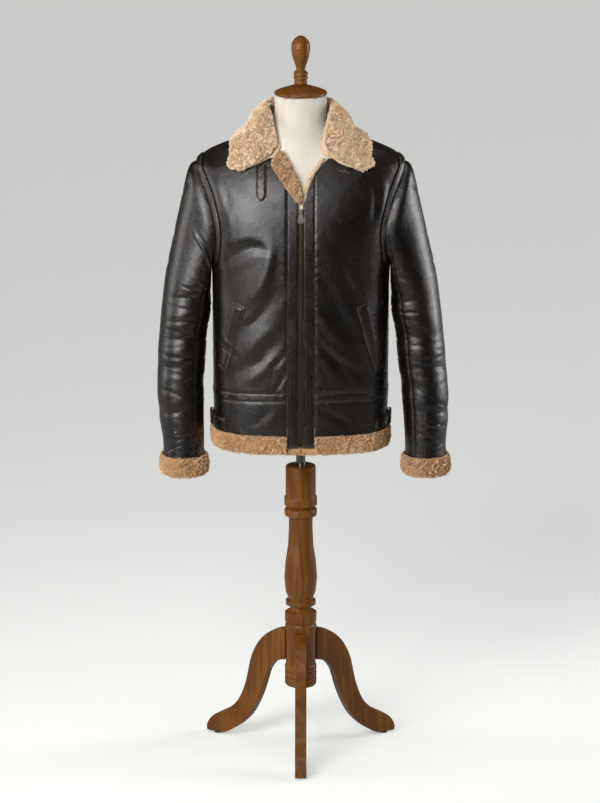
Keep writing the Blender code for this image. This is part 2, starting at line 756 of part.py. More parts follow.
def make_pull_tab():
    """The pull tab: a flared plate with a window for the bridge and a round hole."""
    curve = bpy.data.curves.new("zip_pull_outline", "CURVE")
    curve.dimensions = "2D"
    curve.fill_mode = "BOTH"
    curve.extrude = PULL_THICKNESS / 2
    hole = []
    for k in range(12):
        angle = -math.tau * k / 12
        hole.append(
            (PULL_HOLE_RADIUS * math.cos(angle), PULL_HOLE_PLACE + PULL_HOLE_RADIUS * math.sin(angle))
        )
    for outline in (PULL_OUTLINE, PULL_WINDOW, hole):
        line = curve.splines.new("POLY")
        line.points.add(len(outline) - 1)
        for point, (across, up) in zip(line.points, outline):
            point.co = (across, up, 0.0, 1.0)
        line.use_cyclic_u = True
    guide = bpy.data.objects.new("zip_pull_outline", curve)
    COAT.objects.link(guide)
    view = bpy.context.evaluated_depsgraph_get()
    mesh = bpy.data.meshes.new_from_object(guide.evaluated_get(view))
    bpy.data.objects.remove(guide, do_unlink=True)
    work = bmesh.new()
    work.from_mesh(mesh)
    bmesh.ops.remove_doubles(work, verts=work.verts, dist=1e-6)
    bmesh.ops.recalc_face_normals(work, faces=work.faces)
    work.to_mesh(mesh)
    work.free()
    mesh.materials.clear()
    tab = add_object("zip_pull_tab", mesh, "steel", 30)
    tab.matrix_world = slider_frame() @ Matrix.Translation((0.0, 0.0, SLIDER_TOP + PULL_PIVOT))


FACING_SECTION = ((0.0, 0.6), (0.45, 1.0), (0.85, 0.7), (1.0, 0.2), (0.55, 0.0), (0.0, 0.0))


def make_facings():
    """Shearling at the neck edge: the right front's is turned out, the left front's shows as a strip."""
    loops = []
    last = len(LAPEL) - 1
    for k in range(last * 2 + 1):
        at = k / 2
        outer_x, outer_z, inner_x, inner_z, thick = (
            spline([getattr(row, column) for row in LAPEL], at) for column in LapelRow._fields
        )
        loop = []
        for share, rise in ((0.0, 0.30), (0.12, 0.80), (0.50, 1.0), (0.88, 0.80), (1.0, 0.30)):
            across = between(outer_x, inner_x, share)
            loop.append(front_point(across, between(outer_z, inner_z, share), 0.0016 + thick * rise))
        for share in (0.92, 0.5, 0.08):
            across = between(outer_x, inner_x, share)
            loop.append(front_point(across, between(outer_z, inner_z, share), 0.0016))
        loops.append(loop)
    loft("facing_right", loops, "shearling")
    edge = [(0.0110, 1.2140), (0.0150, 1.2230), (0.0215, 1.2380), (0.0290, 1.2530)]
    edge += [(0.0400, 1.2680), (0.0500, 1.2820)]
    loops = []
    for k, (across, height) in enumerate(edge):
        thick = 0.0060 if 0 < k < len(edge) - 1 else 0.0035
        width = 0.0100 if 0 < k < len(edge) - 1 else 0.0050
        loop = []
        for share, rise in FACING_SECTION:
            step = width * share
            place = front_point(across - step * 0.80, height + step * 0.60, -0.0008 + thick * rise)
            loop.append(place)
        loops.append(loop)
    loft("facing_left", loops, "shearling")


# ---------------------------------------------------------------- shearling at hem and cuffs


def make_hem_fur():
    """The rolled hem: behind the plackets at the front, and 9 mm proud of the leather elsewhere."""
    for side in (-1, 1):
        loops = []
        for across in (0.0006, PLACKET_OUTER + 0.00005):
            loop = []
            for point in HEM_ROLL:
                covered = HEM_LINE + point.up > PLACKET_BOTTOM - 0.0025
                out = min(point.out, -0.0033 if covered else 0.0030)
                loop.append(front_point(across, HEM_LINE + point.up, out))
            loops.append(loop)
        beside = [front_point(PLACKET_OUTER + SEAM_GAP, HEM_LINE + min(p.up, -0.0005), p.out) for p in HEM_ROLL]
        loops.append(beside)
        for loop in loops:
            for point in loop:
                point.x = abs(point.x)
        turns = [turn for turn, height in level_rows(False, [HEM_LINE])[0]]
        turns[0] = turn_at(PLACKET_OUTER + 0.0040, HEM_LINE)
        for turn in turns:
            loops.append([shell_point(turn, HEM_LINE + p.up, p.out, side) for p in HEM_ROLL])
        loft("hem_fur_" + side_name(side), loops, "shearling", side)
    loops = []
    for turn, height in both_sides(level_rows(True, [HEM_LINE]))[0]:
        loop = [bare_shell(turn, HEM_LINE + p.up) for p in HEM_ROLL]
        normals = [shell_normal(turn, HEM_LINE + p.up) for p in HEM_ROLL]
        loops.append([a + n * p.out for a, n, p in zip(loop, normals, HEM_ROLL)])
    loft("hem_fur_back", loops, "shearling")


# ---------------------------------------------------------------- sleeves


def ellipse_point(row, around, swing=0.0):
    angle = math.radians(around)
    tilt = math.radians(row.tilt)
    outward = Vector((math.sin(tilt), 0.0, math.cos(tilt))) * row.half_width
    frontward = Vector((0.0, -1.0, 0.0)) * row.half_depth
    centre = Vector((row.out + swing, -row.forward, row.height))
    return centre + outward * math.cos(angle) + frontward * math.sin(angle)


def wrist_swing(height, side):
    """The left arm hangs a little further from the body than the right."""
    if side > 0:
        return LEFT_SWING * max(0.0, (1.10 - height) / 0.46) ** 1.5
    return -RIGHT_TUCK * min(max(0.0, (0.83 - height) / 0.13), 1.0)


def sleeve_ring_point(around, number, side):
    """A point of one of the sleeve's rings; ring 0 is the armhole."""
    turn, height = armhole_edge(around % 360, -HALF_GAP)
    hole = bare_shell(turn, height) + shell_normal(turn, height) * SEAM_GAP
    if number == 0:
        return hole
    row = SLEEVE[number - 1]
    hold = row.hold * (LEFT_HOLD if side > 0 else 1.0)
    own = (hole - ellipse_point(ARMHOLE_ELLIPSE, around)) * hold
    return ellipse_point(row, around, wrist_swing(row.height, side)) + own


def ring_angles():
    """The places round a sleeve at which it is worked out, from the shoulder over the front."""
    return list(RING_FRONT) + [360 - angle for angle in RING_FRONT[-2:0:-1]]


RING_CACHE = {}


def bare_sleeve(around, along, side):
    key = (around, side)
    if key not in RING_CACHE:
        RING_CACHE[key] = [sleeve_ring_point(around, k, side) for k in range(len(SLEEVE) + 1)]
    return spline(RING_CACHE[key], along)


def sleeve_normal(around, along, side):
    low = max(along - 0.02, 0.0)
    high = min(along + 0.02, SLEEVE_END)
    sideways = bare_sleeve(around + 1, along, side) - bare_sleeve(around - 1, along, side)
    downward = bare_sleeve(around, high, side) - bare_sleeve(around, low, side)
    return sideways.cross(downward).normalized()


def sleeve_point(around, along, out, side):
    place = bare_sleeve(around, along, side)
    sink = 0.0
    for fold in SLEEVE_FOLDS:
        if fold.side not in (0, side):
            continue
        apart = (around - fold.around + 180) % 360 - 180
        up = place.z - fold.height
        sink += fold.depth * math.exp(-((apart / fold.spread) ** 2) - (up / fold.width) ** 2)
    return place + sleeve_normal(around, along, side) * (out - sink)


SLEEVE_STEPS = (
    0.0, 0.5, 1.0, 1.6, 2.2, 2.8, 3.3, 3.7, 4.1, 4.5, 4.9, 5.3, 5.65, 6.0, 6.4, 6.8, 7.3, 8.0, SLEEVE_END
)


def make_sleeves():
    """Each sleeve is a top sleeve and an under sleeve, seamed at the front and at the back."""
    seam = math.degrees(HALF_GAP / 0.055)
    ring = ring_angles()
    under = [around for around in ring if FRONT_SEAM <= around <= BACK_SEAM]
    top = [around for around in ring if around >= BACK_SEAM]
    top += [around + 360 for around in ring if around <= FRONT_SEAM]
    for side in (-1, 1):
        for name, arounds in (("sleeve_under_", under), ("sleeve_top_", top)):
            columns = [float(a) for a in arounds]
            columns[0] += seam
            columns[-1] -= seam
            outer = []
            inner = []
            for along in SLEEVE_STEPS:
                outer.append([sleeve_point(a, along, 0.0, side) for a in columns])
                inner.append([sleeve_point(a, along, -LEATHER, side) for a in columns])
            wall(name + side_name(side), outer, inner, "leather", side)
        loops = []
        for around in ring:
            rim = bare_sleeve(around, SLEEVE_END, side)
            flat = sleeve_normal(around, SLEEVE_END, side)
            flat.z = 0.0
            flat.normalize()
            lift = Vector((0.0, 0.0, 1.0))
            loops.append([rim + flat * p.out + lift * (p.up - SEAM_GAP) for p in CUFF_ROLL])
        loft("cuff_fur_" + side_name(side), loops, "shearling", side, ring=True)


def make_armhole_tapes():
    """The taped seam beside each armhole, on the body's side, from underarm to underarm."""
    arounds = range(-TAPE_END, TAPE_END + 1, TAPE_STEP)
    for side in (-1, 1):
        grids = []
        for level in (TAPE_LIFT + TRIM, TAPE_LIFT):
            grid = []
            for step in (TAPE_NEAR, TAPE_NEAR + TAPE_WIDTH):
                row = []
                for around in arounds:
                    turn, height = armhole_edge(around % 360, step)
                    sink = fold_depth(side, turn, height)
                    row.append(bare_shell(turn, height) + shell_normal(turn, height) * (level - sink))
                grid.append(row)
            grids.append(grid)
        wall("armhole_tape_" + side_name(side), grids[0], grids[1], "leather", side)


# ---------------------------------------------------------------- collar


def collar_value(column, at):
    return spline([getattr(row, column) for row in COLLAR], at)


def collar_loop(at, shrink=0.0):
    """The collar's section: stand, fold and leaf, as one rounded layer over the shoulders."""
    seam_turn = collar_value("seam_turn", at)
    seam_height = collar_value("seam_height", at)
    edge_turn = collar_value("edge_turn", at)
    edge_height = collar_value("edge_height", at)
    thick = collar_value("thick", at)
    fold_angle = math.radians(collar_value("fold_turn", at))
    reach = collar_value("fold_reach", at)
    fold = Vector((math.sin(fold_angle), -math.cos(fold_angle), 0.0)) * reach
    fold.z = collar_value("fold_height", at)
    outward = Vector((math.sin(fold_angle), -math.cos(fold_angle), 0.0))
    seam = bare_shell(seam_turn, seam_height)

    def leaf(share, out):
        turn = between(seam_turn, edge_turn, share)
        height = between(seam_height, edge_height, share)
        return bare_shell(turn, height) + shell_normal(turn, height) * out

    inner_fold = fold - outward * FOLD_HALF + Vector((0.0, 0.0, -0.010))
    outer_fold = fold + outward * FOLD_HALF + Vector((0.0, 0.0, -0.006))
    base = seam + outward * 0.0008 + Vector((0.0, 0.0, 0.0050))
    loop = [
        base,
        (base + inner_fold) / 2 + outward * 0.0006,
        inner_fold,
        fold - outward * (FOLD_HALF * 0.55) + Vector((0.0, 0.0, -0.002)),
        fold + outward * (FOLD_HALF * 0.35),
        outer_fold,
        (outer_fold + leaf(0.62, LEAF_CLEARANCE + thick)) / 2 + outward * 0.005,
        leaf(0.62, LEAF_CLEARANCE + thick),
        leaf(0.90, LEAF_CLEARANCE + thick * 0.76),
        leaf(1.03, LEAF_CLEARANCE + thick * 0.38),
        leaf(0.98, LEAF_CLEARANCE + thick * 0.02),
        leaf(0.60, LEAF_CLEARANCE),
        leaf(0.28, 0.0052),
        leaf(0.04, 0.0013),
    ]
    if shrink:
        middle = sum(loop, Vector()) / len(loop)
        loop = [point.lerp(middle, shrink) for point in loop]
    return loop


COLLAR_STATIONS = (0.0, 0.35, 0.7, 1.2, 1.7, 2.3, 3.0, 3.5, 4.0, 4.5, 5.0, 5.7, 6.4, 7.2, 8.0)
COLLAR_END_STEP = 0.006


def make_collar():
    left = [collar_loop(at) for at in COLLAR_STATIONS]
    end = collar_loop(0.0, 0.35)
    step = (left[0][7] - left[1][7]).normalized() * COLLAR_END_STEP
    left.insert(0, [point + step for point in end])
    right = [[Vector((-p.x, p.y, p.z)) for p in loop] for loop in left[:-1]]
    loft("collar", left + right[::-1], "shearling")


# ---------------------------------------------------------------- pockets, strap, tabs


def make_pocket_welts():
    rows = 5
    for side in (-1, 1):
        grids = []
        for level in (WELT_LIFT + TRIM, WELT_LIFT):
            grid = []
            for r in range(rows + 1):
                line = []
                for c in range(4):
                    ends = []
                    for pair in (WELT_BOTTOM, WELT_TOP):
                        across = between(pair[0].across, pair[1].across, c / 3)
                        height = between(pair[0].height, pair[1].height, c / 3)
                        ends.append((across, height))
                    across = between(ends[0][0], ends[1][0], r / rows)
                    height = between(ends[0][1], ends[1][1], r / rows)
                    place = shell_point(turn_at(across, height), height, level, side)
                    line.append(place)
                grid.append(line)
            grids.append(grid)
        wall("pocket_welt_" + side_name(side), grids[0], grids[1], "leather", side)


STRAP_ACROSS = -0.0810
STRAP_HALF = 0.0108
STRAP_TOP = 1.2700
STRAP_TIP = 1.2000
STRAP_LOW = 0.0006
STRAP_THICK = 0.0026


def strap_row(height, half, out):
    return [front_point(STRAP_ACROSS + half * k, height, out) for k in (-1, 0, 1)]


def make_strap():
    """The collar strap: a pointed tab that hangs from under the collar, with two eyelets."""
    rows = ((STRAP_TIP, 0.0015), (STRAP_TIP + 0.0060, STRAP_HALF - 0.001), (1.2170, STRAP_HALF))
    rows += ((1.2350, STRAP_HALF), (1.2530, STRAP_HALF), (STRAP_TOP, STRAP_HALF))
    lifts = (0.0016, 0.0014, 0.0010, 0.0006, 0.0002, 0.0)
    outer = []
    inner = []
    for (height, half), lift in zip(rows, lifts):
        outer.append(strap_row(height, half, STRAP_LOW + STRAP_THICK + lift))
        inner.append(strap_row(height, half, STRAP_LOW + lift))
    wall("collar_strap", outer, inner, "leather")
    for name, height, lift in (("upper", 1.2520, 0.0004), ("lower", 1.2340, 0.0008)):
        place = front_point(STRAP_ACROSS, height, STRAP_LOW + STRAP_THICK + lift + 0.0006)
        normal = shell_normal(turn_at(-STRAP_ACROSS, height), height)
        normal.x = -normal.x
        ring = ((0.0016, 0.0004), (0.0024, 0.0009), (0.0038, 0.0006), (0.0040, 0.0), (0.0016, 0.0))
        loops = []
        spin = Vector((0.0, 0.0, 1.0)).rotation_difference(normal)
        for k in range(12):
            angle = math.tau * k / 12
            loop = []
            for radius, lift_out in ring:
                point = Vector((radius * math.cos(angle), radius * math.sin(angle), lift_out))
                loop.append(place + spin @ point)
            loops.append(loop)
        loft("strap_eyelet_" + name, loops, "steel", ring=True)


HookStation = namedtuple("HookStation", "across height half")
HOOK_STATIONS = (
    HookStation(0.0790, 1.2585, 0.0006),
    HookStation(0.0800, 1.2583, 0.0010),
    HookStation(0.0900, 1.2565, 0.0010),
    HookStation(0.1000, 1.2545, 0.0010),
    HookStation(0.1010, 1.2543, 0.0006),
)


def make_collar_hook():
    """The strap's fastening on the other side: a thin metal bar just under the collar's leaf."""
    loops = []
    for across, height, half in HOOK_STATIONS:
        loop = []
        for up, out in ((-1, 0.0006), (1, 0.0006), (1, 0.0024), (-1, 0.0024)):
            loop.append(front_point(across, height + up * half, out))
        loops.append(loop)
    loft("collar_hook", loops, "steel")


def make_side_tabs():
    """The hem's adjuster at each side: a strap round the side seam, and its keeper loop."""
    front = [turn for turn, height in level_rows(False, [HEM_LINE])[0]]
    back = [turn for turn, height in level_rows(True, [HEM_LINE])[0]][::-1]
    tab_turns = front[-4:-1] + [90.0] + back[1:4]
    keeper_turns = [between(front[-2], 90.0, 0.15), 90.0, between(90.0, back[1], 0.30)]
    parts = (
        ("side_tab_", tab_turns, 0.7125, 0.7355, LIFT, LIFT + 0.0022),
        ("side_keeper_", keeper_turns, 0.7108, 0.7385, LIFT + 0.0030, LIFT + 0.0078),
    )
    for prefix, turns, low, high, base, crown in parts:
        for side in (-1, 1):
            outer = []
            inner = []
            for share in (0.0, 0.5, 1.0):
                height = between(low, high, share)
                outer.append([shell_point(t, height, crown, side) for t in turns])
                inner.append([shell_point(t, height, base, side) for t in turns])
            wall(prefix + side_name(side), outer, inner, "leather", side)


# ---------------------------------------------------------------- dress form

FormRow = namedtuple("FormRow", "height inset")
FORM_INSET = (
    FormRow(0.740, 0.0300),
    FormRow(0.900, 0.0300),
    FormRow(1.049, 0.0220),
    FormRow(1.100, 0.0180),
    FormRow(1.200, 0.0120),
    FormRow(1.250, 0.0070),
    FormRow(1.268, 0.0048),
    FormRow(1.284, 0.0033),
    FormRow(1.336, 0.0033),
)
# The neck above the coat's neckline: share of the way to the neck's round section, and height.
NeckRow = namedtuple("NeckRow", "share height radius")
NECK_ROWS = (
    NeckRow(0.70, 1.3220, 0.0590),
    NeckRow(0.93, 1.3430, 0.0552),
    NeckRow(1.00, 1.3580, NECK_RADIUS),
    NeckRow(1.00, NECK_TOP - SEAM_GAP, NECK_RADIUS),
)
FORM_LOW_HEIGHTS = (FORM_BOTTOM, 0.770)


def form_half(front_row, back_row, inset):
    """One half of a ring of the form, from the front's middle to the back's middle."""
    front = [(0.0, front_row[0][1])] + list(front_row)
    back = list(back_row[::-1])
    bridge = (90.0, (front_row[-1][1] + back_row[-1][1]) / 2)
    places = front + [bridge] + back
    return [bare_shell(t, h) - shell_normal(t, h) * inset for t, h in places]


def form_ring(half):
    left = list(half)
    right = [Vector((-p.x, p.y, p.z)) for p in half[-2:0:-1]]
    return left + right


def make_form():
    """The limbless form: it follows the coat's inside and meets it at the shoulders."""
    front_rows = panel_rows(False)
    back_rows = panel_rows(True)
    rings = []
    for height in FORM_LOW_HEIGHTS:
        front_row = level_rows(False, [height])[0]
        back_row = level_rows(True, [height])[0]
        half = form_half([(t, height) for t, h in front_row], [(t, height) for t, h in back_row], 0.030)
        rings.append(form_ring([Vector((p.x, p.y, height)) for p in half]))
    picked = (1, 3, 5, 7, 9, 11, 12, 13, 14, 15, 16, 17)
    for k in picked:
        inset = read_table(FORM_INSET, "height", "inset", front_rows[k][-1][1])
        half = form_half(front_rows[k], back_rows[k], inset)
        rings.append(form_ring(half))
    rim = rings[-1]
    for row in NECK_ROWS:
        ring = []
        for point in rim:
            turn = math.atan2(point.x, -point.y)
            round_point = Vector((math.sin(turn), -math.cos(turn), 0.0)) * row.radius
            round_point.z = row.height
            ring.append(point.lerp(round_point, row.share))
        rings.append(ring)
    rings[-1] = [Vector((p.x, p.y, NECK_TOP - SEAM_GAP)) for p in rings[-1]]
    loft("form_torso", rings, "linen")
    turned("neck_cap", CAP_OUTLINE, "wood")
    turned("finial", FINIAL_OUTLINE, "wood")


# ---------------------------------------------------------------- stand


def make_stand():
    bore = ((POST_BORE, BORE_BOTTOM), (POST_BORE, 0.6140), (POST_BORE + 0.0010, 0.6150))
    turned("post", bore + POST_OUTLINE, "wood")
    mesh = bpy.data.meshes.new("pole")
    work = bmesh.new()
    length = FORM_BOTTOM - SEAM_GAP - POLE_BOTTOM
    bmesh.ops.create_cone(
        work, cap_ends=True, segments=TURNED_SIDES, radius1=POLE_RADIUS, radius2=POLE_RADIUS, depth=length
    )
    work.to_mesh(mesh)
    work.free()
    pole = add_object("pole", mesh, "steel")
    pole.location = (0.0, 0.0, POLE_BOTTOM + length / 2)
    for number, direction in enumerate(LEG_DIRECTIONS, start=1):
        make_leg(number, direction)


def make_leg(number, direction):
    """A sawn S-shaped leg with eased edges, and the glide under its foot."""
    work = bmesh.new()
    base = [work.verts.new((r, -LEG_THICKNESS / 2, h)) for r, h in LEG_OUTLINE]
    face = work.faces.new(base)
    pushed = bmesh.ops.extrude_face_region(work, geom=[face])
    moved = [v for v in pushed["geom"] if isinstance(v, bmesh.types.BMVert)]
    bmesh.ops.translate(work, verts=moved, vec=(0.0, LEG_THICKNESS, 0.0))
    bmesh.ops.recalc_face_normals(work, faces=work.faces)
    mesh = bpy.data.meshes.new("leg")
    work.to_mesh(mesh)
    work.free()
    leg = add_object("leg_" + str(number), mesh, "wood", 50)
    leg.rotation_euler = (0.0, 0.0, math.radians(direction))
    ease = leg.modifiers.new("eased edges", "BEVEL")
    ease.width = 0.0025
    ease.segments = 1
    ease.limit_method = "ANGLE"
    ease.angle_limit = math.radians(60)
    glide_mesh = bpy.data.meshes.new("glide")
    disc = bmesh.new()
    height = FOOT_HEIGHT - SEAM_GAP
    bmesh.ops.create_cone(
        disc, cap_ends=True, segments=16, radius1=GLIDE_RADIUS, radius2=GLIDE_RADIUS, depth=height
    )
    disc.to_mesh(glide_mesh)
    disc.free()
    glide = add_object("foot_glide_" + str(number), glide_mesh, "glide")
    angle = math.radians(direction)
    reach = (GLIDE_REACH * math.cos(angle), GLIDE_REACH * math.sin(angle))
    glide.location = (reach[0], reach[1], FLOOR + height / 2)


def centre_part():
    """Stand the whole part on Z = 0 with the middle of its bounding box over the origin."""
    view = bpy.context.evaluated_depsgraph_get()
    corners = []
    for item in COAT.objects:
        shape = item.evaluated_get(view)
        corners += [shape.matrix_world @ vert.co for vert in shape.data.vertices]
    shift = Vector((0.0, 0.0, 0.0))
    for axis in (0, 1):
        values = [corner[axis] for corner in corners]
        shift[axis] = -round((min(values) + max(values)) / 2, 4)
    shift.z = -FLOOR
    for item in list(COAT.objects) + list(CUTTERS.objects):
        item.matrix_world = Matrix.Translation(shift) @ item.matrix_world
    print("moved by", tuple(round(value, 4) for value in shift))


clear_scene()
COAT = new_collection("shearling_coat_on_dress_form")
CUTTERS = new_collection("cutters")
make_body()
make_plackets()
make_zip()
make_slider()
make_pull_tab()
make_facings()
make_hem_fur()
make_sleeves()
make_armhole_tapes()
make_collar()
make_pocket_welts()
make_strap()
make_collar_hook()
make_side_tabs()
make_form()
make_stand()
centre_part()
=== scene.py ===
"""The looks of a shearling coat on a limbless dress form with a turned wooden stand.

The pieces are worked out round the stand's post, in metres, and moved to it by AXIS.
The coat's front faces -Y; the wearer's left is +X. A place on the body is a "turn" (degrees
from the front, positive to the wearer's left) and a height. A place on a sleeve is an "around"
(0 is the shoulder side, 90 the front, 180 the underarm side, 270 the back) and an "along",
which counts the sleeve's rings from the armhole, 0, to the wrist, 9.
"""

import math
from collections import namedtuple

import bmesh
import bpy
import numpy as np
from mathutils import Matrix, Vector
from mathutils.kdtree import KDTree


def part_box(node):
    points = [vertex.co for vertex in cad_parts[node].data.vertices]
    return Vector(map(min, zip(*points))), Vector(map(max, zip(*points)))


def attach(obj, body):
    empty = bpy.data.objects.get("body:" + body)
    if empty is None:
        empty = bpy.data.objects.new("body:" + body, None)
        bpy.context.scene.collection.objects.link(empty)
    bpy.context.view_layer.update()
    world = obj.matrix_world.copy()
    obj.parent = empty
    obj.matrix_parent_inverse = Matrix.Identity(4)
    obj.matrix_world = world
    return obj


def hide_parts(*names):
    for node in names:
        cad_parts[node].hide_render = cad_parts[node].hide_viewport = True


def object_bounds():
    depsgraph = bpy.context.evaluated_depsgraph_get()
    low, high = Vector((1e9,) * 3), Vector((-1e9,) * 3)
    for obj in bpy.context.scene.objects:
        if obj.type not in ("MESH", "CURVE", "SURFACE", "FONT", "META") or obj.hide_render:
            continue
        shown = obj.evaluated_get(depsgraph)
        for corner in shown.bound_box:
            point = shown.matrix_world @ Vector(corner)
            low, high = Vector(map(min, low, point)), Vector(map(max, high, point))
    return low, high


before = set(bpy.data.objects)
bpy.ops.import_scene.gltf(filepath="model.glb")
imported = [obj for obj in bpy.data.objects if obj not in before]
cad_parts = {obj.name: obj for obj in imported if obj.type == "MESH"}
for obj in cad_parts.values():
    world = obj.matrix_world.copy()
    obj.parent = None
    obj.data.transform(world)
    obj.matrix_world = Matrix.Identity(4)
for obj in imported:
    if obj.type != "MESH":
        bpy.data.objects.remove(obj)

CAD_LOW, CAD_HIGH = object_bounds()
POST_LOW, POST_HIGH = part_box("post")
POST_TOP = 0.6150
AXIS = Vector((
    (POST_LOW[0] + POST_HIGH[0]) / 2,
    (POST_LOW[1] + POST_HIGH[1]) / 2,
    POST_HIGH[2] - POST_TOP,
))

# ---------------------------------------------------------------- sizes

# In metres and degrees. Heights are on the scale that has the post's top at POST_TOP.
SEAM_GAP = 0.0003
HALF_GAP = SEAM_GAP / 2
LEATHER = 0.003
TRIM = 0.0016
LIFT = 0.0008
WELT_LIFT = 0.0013
TAPE_LIFT = 0.0016
HEM_LINE = 0.702
STRIP_BOTTOM = 0.781
STRIP_TOP = 0.798
WAIST_SIDE_DROP = 0.006
WAIST_LEVEL = 0.90
FRONT_NECK = 1.250
SHOULDER_NECK = 1.335
BACK_NECK = 1.345
ZIP_TOP = 1.1935
PLACKET_INNER = 0.0050
PLACKET_OUTER = 0.0284
PLACKET_BOTTOM = 0.681
ZIP_HALF = 0.0046
SLIDER_HEIGHT = 1.1795
ARMHOLE_MIDDLE = 1.1585
ARMHOLE_HALF = 0.1095
ARMHOLE_FRONT = 22.0
ARMHOLE_BACK = 21.0
ARMHOLE_SAG = 0.4
FRONT_SEAM = 126
BACK_SEAM = 255
LEFT_SWING = 0.010
RIGHT_TUCK = 0.007
LEFT_HOLD = 0.75
SLEEVE_END = 9.0
TAPE_NEAR = 0.0022
TAPE_WIDTH = 0.0115
TAPE_END = 144

# How finely the leather is meshed, in metres of panel for each face, and the panels' widths.
GRAIN_STEP = 0.0042
FRONT_WIDTH = 0.17
BACK_WIDTH = 0.19

# Radii that turn degrees round the coat into metres: for folds, at the side seams, at the armholes.
FOLD_RADIUS = 0.15
SEAM_RADIUS = 0.18
ARMHOLE_RADIUS = 0.19
SIDE_SEAM = math.degrees(HALF_GAP / SEAM_RADIUS)

# How much of their depths in the tables the creases are given.
BODY_CREASE_SHARE = 0.85
SLEEVE_CREASE_SHARE = 0.54


def rows_of(kind, *rows):
    """A table: rows of numbers with the kind's named columns."""
    return tuple(kind(*row) for row in rows)


ShellRow = namedtuple("ShellRow", "height half_width front back corner")
SHELL = rows_of(
    ShellRow,
    (0.655, 0.1800, 0.1235, 0.1180, 2.8),
    (0.702, 0.1805, 0.1240, 0.1180, 2.8),
    (0.780, 0.1830, 0.1260, 0.1180, 2.7),
    (0.890, 0.1835, 0.1290, 0.1180, 2.6),
    (1.000, 0.1840, 0.1320, 0.1220, 2.5),
    (1.050, 0.1860, 0.1330, 0.1260, 2.5),
    (1.100, 0.1920, 0.1320, 0.1290, 2.5),
    (1.150, 0.2000, 0.1270, 0.1290, 2.5),
    (1.200, 0.2100, 0.1160, 0.1230, 2.4),
    (1.235, 0.2165, 0.1020, 0.1120, 2.35),
    (1.258, 0.2175, 0.0900, 0.1000, 2.3),
    (1.282, 0.2000, 0.0760, 0.0870, 2.2),
    (1.302, 0.1610, 0.0640, 0.0760, 2.1),
    (1.319, 0.1130, 0.0560, 0.0700, 2.0),
    (1.335, 0.0760, 0.0500, 0.0670, 2.0),
    (1.350, 0.0700, 0.0480, 0.0660, 2.0),
)
SleeveRow = namedtuple("SleeveRow", "out height tilt half_width half_depth forward hold")
SLEEVE = rows_of(
    SleeveRow,
    (0.2080, 1.1440, 11.0, 0.1080, 0.0820, 0.000, 0.80),
    (0.2165, 1.0980, 20.0, 0.0870, 0.0790, 0.000, 0.65),
    (0.2260, 1.0430, 37.0, 0.0660, 0.0750, 0.002, 0.40),
    (0.2342, 0.9900, 52.7, 0.0592, 0.0710, 0.004, 0.15),
    (0.2430, 0.9250, 67.5, 0.0525, 0.0660, 0.008, 0.00),
    (0.2495, 0.8425, 81.4, 0.0503, 0.0620, 0.014, 0.00),
    (0.2553, 0.7475, 87.0, 0.0483, 0.0580, 0.021, 0.00),
    (0.2527, 0.6800, 90.0, 0.0432, 0.0520, 0.026, 0.00),
    (0.2520, 0.6430, 90.0, 0.0430, 0.0495, 0.029, 0.00),
)
ARMHOLE_ELLIPSE = SleeveRow(0.1980, 1.1585, 6.0, 0.1095, 0.0820, 0.000, 0.00)

RollPoint = namedtuple("RollPoint", "out up")
HEM_ROLL = rows_of(
    RollPoint,
    (0.0060, 0.0065), (0.0092, -0.0060), (0.0095, -0.0230),
    (0.0055, -0.0335), (-0.0035, -0.0365), (-0.0115, -0.0330),
    (-0.0140, -0.0180), (-0.0120, -0.0035), (-0.0005, -0.0010),
    (0.0012, 0.0000), (0.0020, 0.0055),
)
CUFF_ROLL = rows_of(
    RollPoint,
    (0.0065, 0.0070), (0.0105, -0.0060), (0.0112, -0.0220),
    (0.0070, -0.0345), (-0.0030, -0.0390), (-0.0110, -0.0345),
    (-0.0135, -0.0200), (-0.0115, -0.0045), (-0.0005, -0.0010),
    (0.0013, 0.0000), (0.0020, 0.0060),
)
CollarRow = namedtuple(
    "CollarRow", "seam_turn seam_height fold_turn fold_reach fold_height edge_turn edge_height thick"
)
COLLAR = rows_of(
    CollarRow,
    (39, 1.290, 35, 0.0825, 1.3120, 57, 1.255, 0.0150),
    (46, 1.302, 45, 0.0785, 1.3370, 65, 1.265, 0.0165),
    (58, 1.315, 57, 0.0755, 1.3650, 70, 1.287, 0.0165),
    (74, 1.327, 74, 0.0745, 1.3820, 80, 1.305, 0.0165),
    (90, 1.337, 90, 0.0740, 1.3870, 90, 1.313, 0.0165),
    (112, 1.341, 112, 0.0745, 1.3895, 107, 1.305, 0.0170),
    (136, 1.345, 136, 0.0755, 1.3910, 130, 1.291, 0.0170),
    (158, 1.347, 158, 0.0765, 1.3920, 155, 1.280, 0.0170),
    (180, 1.348, 180, 0.0770, 1.3925, 180, 1.276, 0.0170),
)
LEFT_TUCK = 0.0040
FOLD_HALF = 0.0100
LEAF_CLEARANCE = 0.0039
LapelRow = namedtuple("LapelRow", "outer_across outer_height inner_across inner_height thick")
LAPEL = rows_of(
    LapelRow,
    (-0.0560, 1.2850, -0.0385, 1.2970, 0.0090),
    (-0.0610, 1.2670, -0.0290, 1.2870, 0.0140),
    (-0.0450, 1.2430, -0.0150, 1.2610, 0.0150),
    (-0.0290, 1.2220, -0.0020, 1.2380, 0.0140),
    (-0.0140, 1.2030, 0.0050, 1.2170, 0.0120),
    (-0.0040, 1.1925, 0.0045, 1.2000, 0.0080),
)
NECK_EDGE = (
    (0.0110, 1.2140), (0.0150, 1.2230), (0.0215, 1.2380), (0.0290, 1.2530),
    (0.0400, 1.2680), (0.0500, 1.2820),
)
WeltCorner = namedtuple("WeltCorner", "across height")
WELT_TOP = (WeltCorner(0.1140, 0.9790), WeltCorner(0.1410, 0.9900))
WELT_BOTTOM = (WeltCorner(0.1545, 0.8340), WeltCorner(0.1710, 0.8470))
